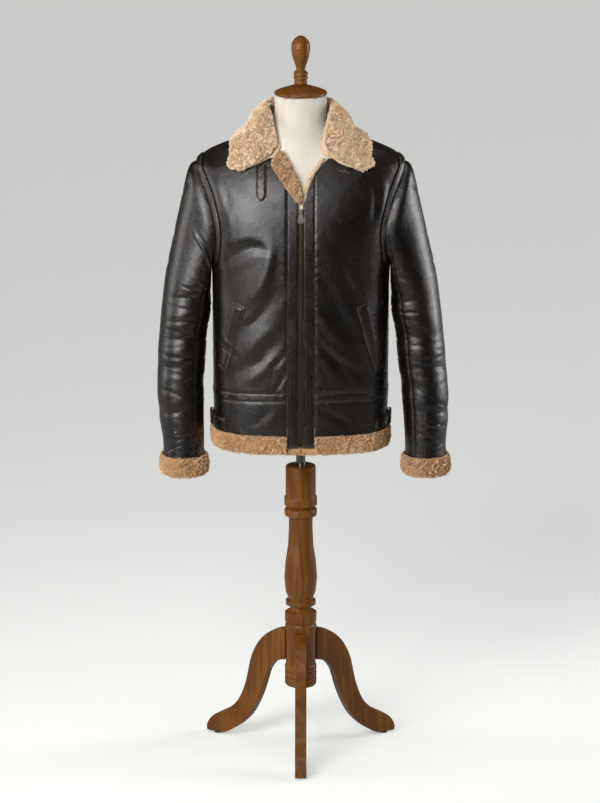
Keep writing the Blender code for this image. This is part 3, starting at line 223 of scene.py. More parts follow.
STRAP_ACROSS = -0.0810
STRAP_HALF = 0.0108
STRAP_TOP = 1.2700
STRAP_TIP = 1.2000
STRAP_LOW = 0.0006
STRAP_THICK = 0.0026

# Turned pieces: radius and height, from top to bottom.
POST_OUTLINE = (
    (0.0104, 0.5550), (0.0104, 0.6140), (0.0114, 0.6150),
    (0.0300, 0.6150), (0.0318, 0.6120), (0.0318, 0.5490), (0.0346, 0.5460), (0.0346, 0.5290),
    (0.0268, 0.5247), (0.0340, 0.5200), (0.0346, 0.5130), (0.0335, 0.5060), (0.0255, 0.5035),
    (0.0252, 0.4800), (0.0268, 0.4410), (0.0322, 0.4060), (0.0348, 0.3700), (0.0319, 0.3384),
    (0.0253, 0.3230), (0.0318, 0.3205), (0.0318, 0.3105), (0.0226, 0.3070), (0.0226, 0.3010),
    (0.0338, 0.2940), (0.0335, 0.2740), (0.0312, 0.2690), (0.0334, 0.2655), (0.0334, 0.2540),
    (0.0316, 0.2510), (0.0316, 0.1790), (0.0337, 0.1765), (0.0337, 0.1660), (0.0310, 0.1645),
    (0.0337, 0.1630), (0.0337, 0.1525), (0.0310, 0.1510), (0.0337, 0.1495), (0.0337, 0.1360),
    (0.0300, 0.1320),
)
CAP_OUTLINE = (
    (0.0125, 1.4237), (0.0200, 1.4220), (0.0340, 1.4180), (0.0470, 1.4135), (0.0535, 1.4100),
    (0.0548, 1.4075), (0.0545, 1.4050), (0.0535, 1.4040),
)
FINIAL_OUTLINE = (
    (0.0060, 1.5250), (0.0135, 1.5190), (0.0185, 1.5110), (0.0196, 1.5010), (0.0180, 1.4860),
    (0.0140, 1.4724), (0.0100, 1.4610), (0.0088, 1.4545), (0.0125, 1.4520), (0.0150, 1.4480),
    (0.0150, 1.4440), (0.0128, 1.4425), (0.0148, 1.4405), (0.0148, 1.4360), (0.0118, 1.4340),
    (0.0142, 1.4290), (0.0130, 1.4240),
)
LEG_OUTLINE = (
    (0.0323, 0.2530), (0.0450, 0.2515), (0.0718, 0.2408), (0.0955, 0.2190), (0.1110, 0.1930),
    (0.1185, 0.1725), (0.1235, 0.1505), (0.1310, 0.1195), (0.1430, 0.0890), (0.1550, 0.0705),
    (0.1710, 0.0560), (0.1915, 0.0445), (0.2110, 0.0330), (0.2235, 0.0195), (0.2285, 0.0065),
    (0.2275, -0.0035), (0.1860, -0.0035), (0.1700, 0.0045), (0.1450, 0.0220), (0.1210, 0.0468),
    (0.1030, 0.0785), (0.0895, 0.1110), (0.0820, 0.1355), (0.0740, 0.1570), (0.0590, 0.1750),
    (0.0440, 0.1825), (0.0323, 0.1845),
)
LEG_CORNERS = (0, 15, 16, 26)
LEG_THICKNESS = 0.024
LEG_DIRECTIONS = (-90, 30, 150)

# ---------------------------------------------------------------- folds and creases

# The body's large folds, each a long trough: side is -1 for the wearer's right, 1 for the left
# and 0 for both.
BodyFold = namedtuple("BodyFold", "side turn height length width lean depth")
BODY_FOLDS = rows_of(
    BodyFold,
    (-1, 38, 0.960, 0.080, 0.020, 128, 0.0035),
    (-1, 28, 0.905, 0.070, 0.016, 132, 0.0030),
    (-1, 42, 0.860, 0.075, 0.018, 138, 0.0030),
    (-1, 47, 1.060, 0.070, 0.024, 112, 0.0035),
    (1, 40, 0.930, 0.080, 0.020, 128, 0.0030),
    (1, 46, 1.060, 0.070, 0.024, 112, 0.0030),
    (0, 118, 0.880, 0.070, 0.020, 40, 0.0030),
    (0, 140, 0.960, 0.080, 0.022, 70, 0.0030),
    (0, 160, 0.860, 0.060, 0.020, 15, 0.0025),
)
SleeveFold = namedtuple("SleeveFold", "around height spread width depth")
SLEEVE_FOLDS = rows_of(
    SleeveFold,
    (120, 0.985, 70, 0.020, 0.0040),
    (90, 0.905, 60, 0.018, 0.0035),
    (60, 0.840, 60, 0.018, 0.0030),
    (150, 0.800, 60, 0.017, 0.0030),
    (40, 0.745, 70, 0.016, 0.0030),
    (250, 0.900, 60, 0.018, 0.0025),
    (280, 0.800, 60, 0.018, 0.0025),
)

# Creases of the body: where the crease's middle is (turn is signed), half its length and width,
# how far it leans up towards the wearer's left, how much it bows, and its depth; a negative
# depth is a ridge.
Crease = namedtuple("Crease", "turn height length width lean bow depth")
BODY_CREASES = rows_of(
    Crease,
    # the wearer's right front, from the armhole down to the waist strip
    (-46, 1.100, 0.038, 0.0170, 28, -0.35, 0.0048),
    (-30, 1.045, 0.060, 0.0155, 70, 0.15, -0.0042),
    (-35, 0.985, 0.050, 0.0140, 58, 0.10, -0.0022),
    (-36, 0.958, 0.026, 0.0085, 52, 0.10, 0.0018),
    (-33, 0.903, 0.054, 0.0230, 50, -0.10, -0.0036),
    (-19, 0.868, 0.024, 0.0075, 48, 0.12, 0.0024),
    (-35, 0.862, 0.015, 0.0065, 40, 0.10, 0.0012),
    (-32, 0.848, 0.042, 0.0140, 46, 0.12, -0.0018),
    (-18, 0.822, 0.022, 0.0065, 58, 0.10, 0.0030),
    (-14, 0.830, 0.016, 0.0050, 62, 0.10, -0.0014),
    (-64, 1.208, 0.036, 0.0080, 110, 0.10, -0.0024),
    (-70, 1.200, 0.032, 0.0070, 107, 0.10, 0.0020),
    (-56, 1.150, 0.034, 0.0090, 98, 0.05, -0.0012),
    (-57, 0.880, 0.020, 0.0055, -35, 0.10, 0.0014),
    (-61, 0.905, 0.022, 0.0055, -40, 0.10, -0.0012),
    # the wearer's left front
    (65, 1.205, 0.036, 0.0080, 80, 0.06, -0.0026),
    (60, 1.195, 0.040, 0.0085, 82, 0.06, 0.0020),
    (40, 1.060, 0.060, 0.0150, 118, 0.10, 0.0026),
    (28, 1.000, 0.070, 0.0130, 116, 0.10, 0.0020),
    (22, 0.945, 0.060, 0.0120, 125, -0.08, -0.0020),
    (30, 0.868, 0.042, 0.0110, 128, 0.12, 0.0030),
    (20, 0.868, 0.045, 0.0095, 130, 0.10, -0.0018),
    (42, 0.850, 0.040, 0.0100, 140, 0.10, 0.0018),
    (14, 0.828, 0.022, 0.0060, 128, 0.10, 0.0016),
    # the hem band
    (-34, 0.745, 0.026, 0.0085, 48, 0.10, 0.0012),
    (-26, 0.742, 0.024, 0.0090, 52, 0.10, -0.0009),
    (30, 0.748, 0.036, 0.0110, 150, 0.10, 0.0016),
    (112, 0.745, 0.040, 0.0100, 20, 0.10, 0.0016),
    (-118, 0.742, 0.040, 0.0100, 160, 0.10, 0.0016),
    (165, 0.748, 0.045, 0.0110, 12, 0.10, 0.0016),
    (-152, 0.746, 0.040, 0.0100, 170, 0.10, -0.0014),
    # the back: soft falls from the shoulder blades, and drags above the waist strip
    (142, 1.180, 0.080, 0.0161, 82, 0.08, 0.0026),
    (-140, 1.175, 0.080, 0.0161, 98, 0.08, 0.0026),
    (128, 1.120, 0.060, 0.0108, 70, 0.10, -0.0022),
    (-127, 1.115, 0.060, 0.0108, 110, 0.10, -0.0022),
    (160, 1.050, 0.080, 0.0149, 76, 0.10, 0.0024),
    (-163, 1.040, 0.080, 0.0149, 102, -0.10, 0.0022),
    (122, 1.010, 0.055, 0.0095, 40, 0.15, 0.0022),
    (-120, 1.005, 0.055, 0.0095, 142, 0.15, 0.0022),
    (132, 0.960, 0.060, 0.0088, 34, 0.12, -0.0018),
    (-134, 0.950, 0.060, 0.0088, 146, 0.12, -0.0018),
    (150, 0.905, 0.060, 0.0101, 24, 0.12, 0.0024),
    (-148, 0.900, 0.060, 0.0101, 158, 0.12, 0.0022),
    (126, 0.850, 0.045, 0.0081, 30, 0.10, 0.0020),
    (-130, 0.845, 0.045, 0.0081, 152, 0.10, 0.0020),
    (172, 0.838, 0.050, 0.0095, 8, 0.10, 0.0018),
    (-168, 0.862, 0.050, 0.0088, 172, 0.10, -0.0014),
)

# Creases across the sleeves: slope is how far a crease climbs for each degree of around.
SleeveCrease = namedtuple("SleeveCrease", "side around height spread width slope depth")
SLEEVE_CREASES = rows_of(
    SleeveCrease,
    # the wearer's right sleeve, seen from the front
    (-1, 118, 1.078, 34, 0.0070, -0.00110, 0.0030),
    (-1, 96, 1.092, 30, 0.0060, -0.00120, -0.0022),
    (-1, 132, 1.040, 30, 0.0060, -0.00100, 0.0030),
    (-1, 112, 1.020, 26, 0.0050, -0.00060, -0.0018),
    (-1, 95, 1.006, 26, 0.0040, -0.00030, 0.0018),
    (-1, 78, 0.989, 34, 0.0045, 0.00005, 0.0018),
    (-1, 75, 0.967, 44, 0.0042, -0.00010, 0.0026),
    (-1, 70, 0.952, 32, 0.0045, 0.00010, -0.0014),
    (-1, 72, 0.938, 46, 0.0040, 0.00008, 0.0026),
    (-1, 66, 0.919, 34, 0.0036, -0.00010, 0.0016),
    (-1, 74, 0.900, 48, 0.0042, 0.00006, 0.0030),
    (-1, 60, 0.882, 36, 0.0034, 0.00012, 0.0016),
    (-1, 70, 0.864, 48, 0.0040, -0.00006, 0.0032),
    (-1, 64, 0.853, 34, 0.0040, 0.00004, -0.0014),
    (-1, 74, 0.842, 40, 0.0034, 0.00012, 0.0016),
    (-1, 62, 0.827, 42, 0.0036, -0.00006, 0.0024),
    (-1, 84, 0.808, 34, 0.0034, 0.00010, 0.0014),
    (-1, 74, 0.787, 46, 0.0042, -0.00012, 0.0032),
    (-1, 60, 0.772, 30, 0.0034, 0.00030, 0.0016),
    (-1, 54, 0.757, 30, 0.0036, -0.00050, 0.0026),
    (-1, 92, 0.752, 28, 0.0036, 0.00045, 0.0024),
    (-1, 74, 0.737, 34, 0.0034, 0.00010, -0.0012),
    (-1, 72, 0.720, 44, 0.0024, -0.00010, 0.0020),
    (-1, 70, 0.7135, 40, 0.0024, -0.00006, 0.0022),
    (-1, 66, 0.7065, 42, 0.0024, -0.00012, 0.0020),
    (-1, 72, 0.6995, 40, 0.0024, -0.00010, 0.0018),
    (-1, 80, 0.688, 30, 0.0032, 0.00025, 0.0016),
    (-1, 60, 0.668, 26, 0.0034, 0.00040, 0.0016),
    # the wearer's left sleeve, seen from the front
    (1, 100, 1.031, 22, 0.0036, 0.00020, 0.0022),
    (1, 104, 1.020, 20, 0.0036, 0.00010, -0.0014),
    (1, 100, 1.010, 24, 0.0034, -0.00020, 0.0022),
    (1, 84, 1.006, 20, 0.0034, 0.00120, -0.0018),
    (1, 104, 0.998, 22, 0.0036, 0.00010, 0.0020),
    (1, 92, 0.983, 26, 0.0038, -0.00020, 0.0022),
    (1, 78, 0.976, 20, 0.0040, 0.00090, -0.0016),
    (1, 84, 0.959, 44, 0.0040, -0.00005, 0.0030),
    (1, 90, 0.940, 30, 0.0036, 0.00020, 0.0014),
    (1, 80, 0.921, 34, 0.0036, 0.00050, 0.0024),
    (1, 96, 0.905, 26, 0.0036, 0.00010, 0.0016),
    (1, 66, 0.889, 54, 0.0040, -0.00004, 0.0032),
    (1, 30, 0.874, 26, 0.0036, 0.00010, 0.0026),
    (1, 64, 0.859, 44, 0.0038, -0.00006, 0.0028),
    (1, 28, 0.836, 28, 0.0036, 0.00012, 0.0030),
    (1, 86, 0.842, 26, 0.0036, -0.00010, 0.0014),
    (1, 70, 0.822, 42, 0.0038, 0.00004, 0.0026),
    (1, 30, 0.806, 24, 0.0034, -0.00030, 0.0022),
    (1, 84, 0.800, 26, 0.0034, 0.00010, 0.0016),
    (1, 88, 0.784, 26, 0.0038, 0.00060, 0.0030),
    (1, 52, 0.763, 50, 0.0040, 0.00035, 0.0030),
    (1, 96, 0.752, 24, 0.0034, -0.00010, 0.0014),
    (1, 70, 0.738, 34, 0.0034, 0.00010, -0.0012),
    (1, 62, 0.7210, 44, 0.0024, 0.00016, 0.0020),
    (1, 40, 0.7150, 34, 0.0024, 0.00020, 0.0018),
    (1, 66, 0.7125, 44, 0.0026, 0.00004, 0.0024),
    (1, 38, 0.7050, 32, 0.0024, 0.00022, 0.0018),
    (1, 80, 0.692, 34, 0.0034, 0.00030, 0.0024),
    (1, 50, 0.672, 26, 0.0034, -0.00030, 0.0014),
    # the outer and the back side of both
    (0, 10, 1.205, 26, 0.0110, 0.00060, 0.0022),
    (0, 345, 1.120, 30, 0.0120, -0.00050, 0.0024),
    (0, 352, 1.050, 32, 0.0090, 0.00030, 0.0022),
    (0, 225, 1.080, 34, 0.0070, 0.00090, 0.0030),
    (0, 246, 1.045, 34, 0.0065, 0.00080, -0.0020),
    (0, 232, 1.010, 34, 0.0060, 0.00060, 0.0030),
    (0, 262, 0.978, 44, 0.0046, 0.00010, 0.0026),
    (0, 300, 0.962, 34, 0.0044, -0.00012, 0.0018),
    (0, 256, 0.946, 46, 0.0042, 0.00008, 0.0028),
    (0, 310, 0.930, 36, 0.0040, -0.00010, 0.0020),
    (0, 266, 0.914, 48, 0.0042, -0.00006, 0.0030),
    (0, 302, 0.895, 40, 0.0040, 0.00010, 0.0020),
    (0, 254, 0.880, 44, 0.0040, 0.00006, 0.0028),
    (0, 318, 0.866, 36, 0.0038, -0.00012, 0.0022),
    (0, 268, 0.850, 48, 0.0040, -0.00006, 0.0030),
    (0, 290, 0.832, 36, 0.0036, 0.00012, 0.0018),
    (0, 250, 0.818, 44, 0.0040, 0.00006, 0.0026),
    (0, 312, 0.800, 38, 0.0038, -0.00010, 0.0024),
    (0, 262, 0.784, 46, 0.0040, 0.00010, 0.0028),
    (0, 296, 0.764, 38, 0.0036, -0.00020, 0.0022),
    (0, 256, 0.748, 42, 0.0038, 0.00012, 0.0024),
    (0, 306, 0.730, 40, 0.0032, 0.00010, 0.0016),
    (0, 264, 0.7180, 44, 0.0026, 0.00006, 0.0020),
    (0, 290, 0.7080, 46, 0.0026, -0.00006, 0.0020),
    (0, 250, 0.690, 36, 0.0034, 0.00020, 0.0018),
    (0, 178, 0.985, 34, 0.0060, 0.00020, 0.0030),
    (0, 190, 0.955, 34, 0.0050, -0.00020, 0.0024),
    (0, 176, 0.922, 34, 0.0046, 0.00012, 0.0026),
    (0, 188, 0.888, 36, 0.0044, -0.00012, 0.0024),
    (0, 178, 0.852, 34, 0.0044, 0.00010, 0.0026),
    (0, 190, 0.812, 34, 0.0042, -0.00010, 0.0022),
    (0, 176, 0.770, 34, 0.0042, 0.00010, 0.0022),
)

# ---------------------------------------------------------------- reading the tables


def between(low, high, share):
    return low + (high - low) * share


def monotone(xs, ys, at):
    """A smooth curve through a table's values that never passes them."""
    last = len(xs) - 1
    steps = np.diff(ys) / np.diff(xs)
    slopes = np.zeros(last + 1)
    slopes[0] = steps[0]
    slopes[-1] = steps[-1]
    for k in range(1, last):
        before, after = steps[k - 1], steps[k]
        slopes[k] = 0.0 if before * after <= 0 else 2 * before * after / (before + after)
    i = np.clip(np.searchsorted(xs, at, side="right") - 1, 0, last - 1)
    width = xs[i + 1] - xs[i]
    t = np.clip((at - xs[i]) / width, 0.0, 1.0)
    rise = (1 - t) ** 2 * (1 + 2 * t) * ys[i] + t * t * (3 - 2 * t) * ys[i + 1]
    return rise + width * (t * (1 - t) ** 2 * slopes[i] - t * t * (1 - t) * slopes[i + 1])


class Column:
    """One column of a table as a function of its key column."""

    def __init__(self, rows, key, name):
        self.xs = np.array([getattr(row, key) for row in rows], dtype=float)
        self.ys = np.array([getattr(row, name) for row in rows], dtype=float)

    def __call__(self, at):
        return monotone(self.xs, self.ys, np.asarray(at, dtype=float))


HALF_WIDTH = Column(SHELL, "height", "half_width")
FRONT_DEPTH = Column(SHELL, "height", "front")
BACK_DEPTH = Column(SHELL, "height", "back")
CORNER = Column(SHELL, "height", "corner")


def spline(values, at):
    """A smooth curve through evenly numbered points or numbers, read at an array of numbers."""
    values = np.asarray(values, dtype=float)
    at = np.atleast_1d(np.asarray(at, dtype=float))
    last = len(values) - 1
    padded = np.concatenate([[values[0] * 2 - values[1]], values, [values[-1] * 2 - values[-2]]])
    i = np.clip(at.astype(int), 0, last - 1)
    t = (at - i).reshape((-1,) + (1,) * (values.ndim - 1))
    p0, p1, p2, p3 = padded[i], padded[i + 1], padded[i + 2], padded[i + 3]
    return (
        p1 * 2
        + (p2 - p0) * t
        + (p0 * 2 - p1 * 5 + p2 * 4 - p3) * t**2
        + (p1 * 3 - p0 - p2 * 3 + p3) * t**3
    ) * 0.5


def rounded_loop(loop, per_side):
    """A closed loop of points with more points on a smooth curve through them."""
    loop = np.asarray(loop, dtype=float)
    count = len(loop)
    around = np.concatenate([loop[-2:], loop, loop[:3]])
    return spline(around, 2 + np.arange(count * per_side) / per_side)


def unit(vectors):
    return vectors / np.maximum(np.linalg.norm(vectors, axis=-1, keepdims=True), 1e-12)


def undulate(points, scale, seed):
    """A soft irregular wave over an array of points, from about -1 to 1."""
    rng = np.random.default_rng(seed)
    total = np.zeros(points.shape[:-1])
    for _ in range(7):
        direction = unit(rng.normal(size=3)) * rng.uniform(0.6, 1.7) * math.tau / scale
        total += np.sin(points @ direction + rng.uniform(0, math.tau))
    return total / 3.2


# ---------------------------------------------------------------- the body's surface


def bare_shell(turn, height):
    turn, height = np.broadcast_arrays(np.asarray(turn, float), np.asarray(height, float))
    angle = np.radians(turn)
    depth = np.where(np.cos(angle) > 0, FRONT_DEPTH(height), BACK_DEPTH(height))
    power = CORNER(height)
    across = np.abs(np.sin(angle)) / HALF_WIDTH(height)
    along = np.abs(np.cos(angle)) / depth
    radius = (across**power + along**power) ** (-1 / power)
    return np.stack([radius * np.sin(angle), -radius * np.cos(angle), height], axis=-1)


def body_normal(turn, height):
    sideways = bare_shell(turn + 0.5, height) - bare_shell(turn - 0.5, height)
    upward = bare_shell(turn, height + 0.001) - bare_shell(turn, height - 0.001)
    return unit(np.cross(sideways, upward))


def turned_by(turn, middle):
    return (turn - middle + 180) % 360 - 180


def body_sink(turn, height):
    """How far the folds and creases sink the leather at a place of the body."""
    signed = turned_by(turn, 0)
    side = np.where(signed < 0, -1, 1)
    depth = np.zeros(np.broadcast(signed, height).shape)
    for fold in BODY_FOLDS:
        across = np.radians(np.abs(signed) - fold.turn) * FOLD_RADIUS
        up = height - fold.height
        lean = math.radians(fold.lean)
        along = across * math.cos(lean) + up * math.sin(lean)
        beside = -across * math.sin(lean) + up * math.cos(lean)
        here = fold.depth * np.exp(-((along / fold.length) ** 2) - (beside / fold.width) ** 2)
        depth += here * (1 if fold.side == 0 else side == fold.side)
    for crease in BODY_CREASES:
        across = np.radians(turned_by(turn, crease.turn)) * FOLD_RADIUS
        up = height - crease.height
        lean = math.radians(crease.lean)
        along = (across * math.cos(lean) + up * math.sin(lean)) / crease.length
        beside = -across * math.sin(lean) + up * math.cos(lean)
        beside = beside / crease.width - crease.bow * crease.length / crease.width * along**2
        depth += BODY_CREASE_SHARE * crease.depth * np.exp(-(along**4)) * pinch(beside)
    return depth


def pinch(beside):
    """A crease's section: a trough with a low soft bank on each side."""
    return (1 - 0.9 * beside**2) * np.exp(-(beside**2))


def body_point(turn, height, out, creased=1.0):
    turn, height = np.broadcast_arrays(np.asarray(turn, float), np.asarray(height, float))
    lift = out - body_sink(turn, height) * creased
    return bare_shell(turn, height) + body_normal(turn, height) * np.asarray(lift)[..., None]


def turn_at(across, height):
    """The signed turn at which the front lies a given distance from the middle."""
    power = CORNER(height)
    forward = FRONT_DEPTH(height) * (1 - (np.abs(across) / HALF_WIDTH(height)) ** power) ** (1 / power)
    return np.degrees(np.arctan2(across, forward))


def front_point(across, height, out):
    return body_point(turn_at(across, height), height, out)


def settled(turn, height):
    """Heights near the waist, which lies a little lower at the sides than at the middle."""
    low = np.clip((height - HEM_LINE) / (STRIP_BOTTOM - HEM_LINE), 0.0, 1.0)
    high = np.clip((WAIST_LEVEL - height) / (WAIST_LEVEL - STRIP_TOP), 0.0, 1.0)
    return height - WAIST_SIDE_DROP * np.sin(np.radians(turn)) ** 2 * np.minimum(low, high)


def armhole_edge(around, grow):
    """The armhole's edge on the wearer's left, as turn and height; grow widens it."""
    angle = np.radians(around)
    height = ARMHOLE_MIDDLE + (ARMHOLE_HALF + grow) * np.cos(angle)
    widest = np.where(np.asarray(around) % 360 <= 180, ARMHOLE_FRONT, ARMHOLE_BACK)
    reach = widest * np.sin(angle) * (1 - ARMHOLE_SAG * np.cos(angle))
    reach = reach + np.degrees(grow / ARMHOLE_RADIUS) * np.sin(angle)
    return 90 - reach, height


# ---------------------------------------------------------------- the panels' rows

BendRow = namedtuple("BendRow", "share front back")
ROW_BEND = rows_of(
    BendRow,
    (0.00, 1.60, 1.60),
    (0.45, 1.05, 1.15),
    (0.80, 0.50, 0.65),
    (1.00, 0.74, 1.00),
)


def side_edge(back):
    """The outer edge of the left front, or of the back, from the waist up to the neck."""
    turn = 90 + SIDE_SEAM if back else 90 - SIDE_SEAM
    low = np.linspace(STRIP_TOP + HALF_GAP, 0.950, 38)
    high = np.linspace(0.954, 1.045, 22)
    turns = [np.full(60, turn)]
    heights = [np.concatenate([low, high])]
    arounds = np.linspace(180, 0, 76)
    hole_turn, hole_height = armhole_edge(360 - arounds if back else arounds, HALF_GAP)
    hole_turn = np.maximum(hole_turn, turn) if back else np.minimum(hole_turn, turn)
    turns.append(hole_turn)
    heights.append(hole_height)
    shoulder = np.linspace(1.272, SHOULDER_NECK, 14)
    turns.append(np.full(14, turn))
    heights.append(shoulder)
    return np.concatenate(turns), np.concatenate(heights)


def panel_shares(back):
    """Even shares of the way across a panel, from the middle to its side."""
    return np.linspace(0.0, 1.0, round((BACK_WIDTH if back else FRONT_WIDTH) / GRAIN_STEP) + 1)


def panel_rows(back):
    """Turn and height on a grid from the middle of the front or back to its outer edge."""
    edge_turn, edge_height = side_edge(back)
    places = bare_shell(edge_turn, edge_height)
    start = int(np.argmax(edge_height > 0.9505))
    lengths = np.linalg.norm(np.diff(places, axis=0), axis=1)
    run = np.cumsum(np.where(np.arange(1, len(places)) >= start, lengths, 0.0))
    share = np.concatenate([[0.0], run]) / run[-1]
    top = BACK_NECK if back else FRONT_NECK
    middle = np.where(share > 0, between(edge_height[start - 1], top, share), edge_height)
    middle_turn = np.full(len(middle), 180.0) if back else turn_at(PLACKET_OUTER + SEAM_GAP, middle)
    bend = Column(ROW_BEND, "share", "back" if back else "front")(share)
    s = panel_shares(back)
    turn = between(middle_turn[:, None], edge_turn[:, None], s)
    height = between(middle[:, None], edge_height[:, None], s[None, :] ** bend[:, None])
    return turn, settled(turn, height)


def level_rows(back, low, high, rows):
    """Turn and height on a grid of a level band."""
    edge_turn = 90 + SIDE_SEAM if back else 90 - SIDE_SEAM
    height = np.linspace(low, high, rows + 1)
    middle_turn = np.full(rows + 1, 180.0) if back else turn_at(PLACKET_OUTER + SEAM_GAP, height)
    s = panel_shares(back)
    turn = between(middle_turn[:, None], edge_turn, s)
    return turn, settled(turn, height[:, None])


def both_sides(turn, height):
    """A half grid of the back, from the middle out, laid out from edge to edge."""
    whole_turn = np.hstack([turn[:, ::-1], 360 - turn[:, 1:]])
    return whole_turn, np.hstack([height[:, ::-1], height[:, 1:]])


# ---------------------------------------------------------------- the sleeves' surface


def ellipse_point(row, around, swing=0.0):
    angle = np.radians(around)
    tilt = math.radians(row.tilt)
    outward = np.array([math.sin(tilt), 0.0, math.cos(tilt)]) * row.half_width
    frontward = np.array([0.0, -row.half_depth, 0.0])
    centre = np.array([row.out + swing, -row.forward, row.height])
    return centre + np.cos(angle)[:, None] * outward + np.sin(angle)[:, None] * frontward


def wrist_swing(height, side):
    """The left arm hangs a little further from the body than the right."""
    if side > 0:
        return LEFT_SWING * max(0.0, (1.10 - height) / 0.46) ** 1.5
    return -RIGHT_TUCK * min(max(0.0, (0.83 - height) / 0.13), 1.0)


def sleeve_rings(arounds, side):
    """The sleeve's rings at an array of arounds; the first is the armhole."""
    arounds = np.asarray(arounds, dtype=float)
    turn, height = armhole_edge(arounds % 360, -HALF_GAP)
    hole = bare_shell(turn, height) + body_normal(turn, height) * SEAM_GAP
    rings = [hole]
    for row in SLEEVE:
        hold = row.hold * (LEFT_HOLD if side > 0 else 1.0)
        own = (hole - ellipse_point(ARMHOLE_ELLIPSE, arounds)) * hold
        rings.append(ellipse_point(row, arounds, wrist_swing(row.height, side)) + own)
    return np.array(rings)


def bare_sleeve(arounds, alongs, side):
    """Points by along and around."""
    return spline(sleeve_rings(arounds, side), alongs)


def sleeve_normal(arounds, alongs, side):
    alongs = np.asarray(alongs, dtype=float)
    low = np.maximum(alongs - 0.02, 0.0)
    high = np.minimum(alongs + 0.02, SLEEVE_END)
    arounds = np.asarray(arounds, dtype=float)
    sideways = bare_sleeve(arounds + 1, alongs, side) - bare_sleeve(arounds - 1, alongs, side)
    downward = bare_sleeve(arounds, high, side) - bare_sleeve(arounds, low, side)
    return unit(np.cross(sideways, downward))


def sleeve_sink(arounds, height, side):
    sink = np.zeros(height.shape)
    for fold in SLEEVE_FOLDS:
        apart = turned_by(arounds, fold.around)
        up = height - fold.height
        sink += fold.depth * np.exp(-((apart / fold.spread) ** 2) - (up / fold.width) ** 2)
    for crease in SLEEVE_CREASES:
        if crease.side not in (0, side):
            continue
        apart = turned_by(arounds, crease.around)
        up = height - crease.height - crease.slope * apart
        reach = np.exp(-((apart / crease.spread) ** 4))
        sink += SLEEVE_CREASE_SHARE * crease.depth * reach * pinch(up / crease.width)
    return sink


def sleeve_point(arounds, alongs, out, side):
    """Points of a sleeve on the left side's plan, by along and around."""
    arounds = np.asarray(arounds, dtype=float)
    place = bare_sleeve(arounds, alongs, side)
    sink = sleeve_sink(np.broadcast_to(arounds, place.shape[:2]), place[..., 2], side)
    return place + sleeve_normal(arounds, alongs, side) * (out - sink)[..., None]


def mirrored(points, side):
    return np.asarray(points) * np.array([side, 1.0, 1.0])


def side_name(side):
    return "left" if side > 0 else "right"


# ---------------------------------------------------------------- meshes


def set_down(name, data):
    """A new object in the scene."""
    piece = bpy.data.objects.new(name, data)
    bpy.context.scene.collection.objects.link(piece)
    return piece


def mesh_of(name, points, faces, materials, picks=None, smooth_angle=40):
    """A mesh from an array of points and arrays of faces; picks gives each array's material."""
    points = np.asarray(points, dtype=float).reshape(-1, 3)
    mesh = bpy.data.meshes.new(name)
    mesh.vertices.add(len(points))
    mesh.vertices.foreach_set("co", points.ravel())
    sizes = np.concatenate([np.full(len(array), array.shape[1]) for array in faces])
    corners = np.concatenate([np.asarray(array).ravel() for array in faces]).astype(np.int32)
    mesh.loops.add(len(corners))
    mesh.loops.foreach_set("vertex_index", corners)
    mesh.polygons.add(len(sizes))
    starts = np.concatenate([[0], np.cumsum(sizes)[:-1]]).astype(np.int32)
    mesh.polygons.foreach_set("loop_start", starts)
    if picks:
        which = np.concatenate([np.full(len(array), pick) for array, pick in zip(faces, picks)])
        mesh.polygons.foreach_set("material_index", which.astype(np.int32))
    mesh.update(calc_edges=True)
    mesh.validate()
    mesh.shade_smooth()
    mesh.set_sharp_from_angle(angle=math.radians(smooth_angle))
    piece = set_down(name, mesh)
    for material in materials:
        mesh.materials.append(material)
    return piece


def add_layer(piece, name, values):
    layer = piece.data.attributes.new(name, "FLOAT", "POINT")
    layer.data.foreach_set("value", np.asarray(values, dtype=np.float32).ravel())


def dress(piece, body, slot, *nodes):
    """Place a piece round the post, on a body, in place of some CAD nodes; slot is not used."""
    piece.location = AXIS
    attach(piece, body)
    if nodes:
        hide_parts(*nodes)
    return piece


def grid_quads(number):
    """Faces of a grid of point numbers."""
    cells = (number[:-1, :-1], number[:-1, 1:], number[1:, 1:], number[1:, :-1])
    return np.stack(cells, axis=-1).reshape(-1, 4)


ALL_EDGES = (True, True, True, True)


def edge_distance(grid, sides=ALL_EDGES):
    """Distance along the cloth from each point to the nearest of the grid's edges.

    sides says which edges count: first row, last row, first column, last column."""
    far = np.full(grid.shape[:2], 1.0)
    down = np.linalg.norm(np.diff(grid, axis=0), axis=-1)
    down = np.concatenate([np.zeros((1, grid.shape[1])), np.cumsum(down, axis=0)])
    along = np.linalg.norm(np.diff(grid, axis=1), axis=-1)
    along = np.concatenate([np.zeros((grid.shape[0], 1)), np.cumsum(along, axis=1)], axis=1)
    runs = (down, down[-1:] - down, along, along[:, -1:] - along)
    for used, run in zip(sides, runs):
        if used:
            far = np.minimum(far, run)
    return far


def seam_roll(grid, normals, sides, depth, seed, reach=0.006, pucker=0.0005):
    """The leather turns down into its seams and puckers a little along them."""
    away = edge_distance(grid, sides)
    close = np.clip(1 - away / reach, 0.0, 1.0)
    ripple = undulate(grid, 0.014, seed) * np.exp(-((away - 0.006) / 0.006) ** 2)
    return grid - normals * (depth * close**2 - pucker * ripple)[..., None]


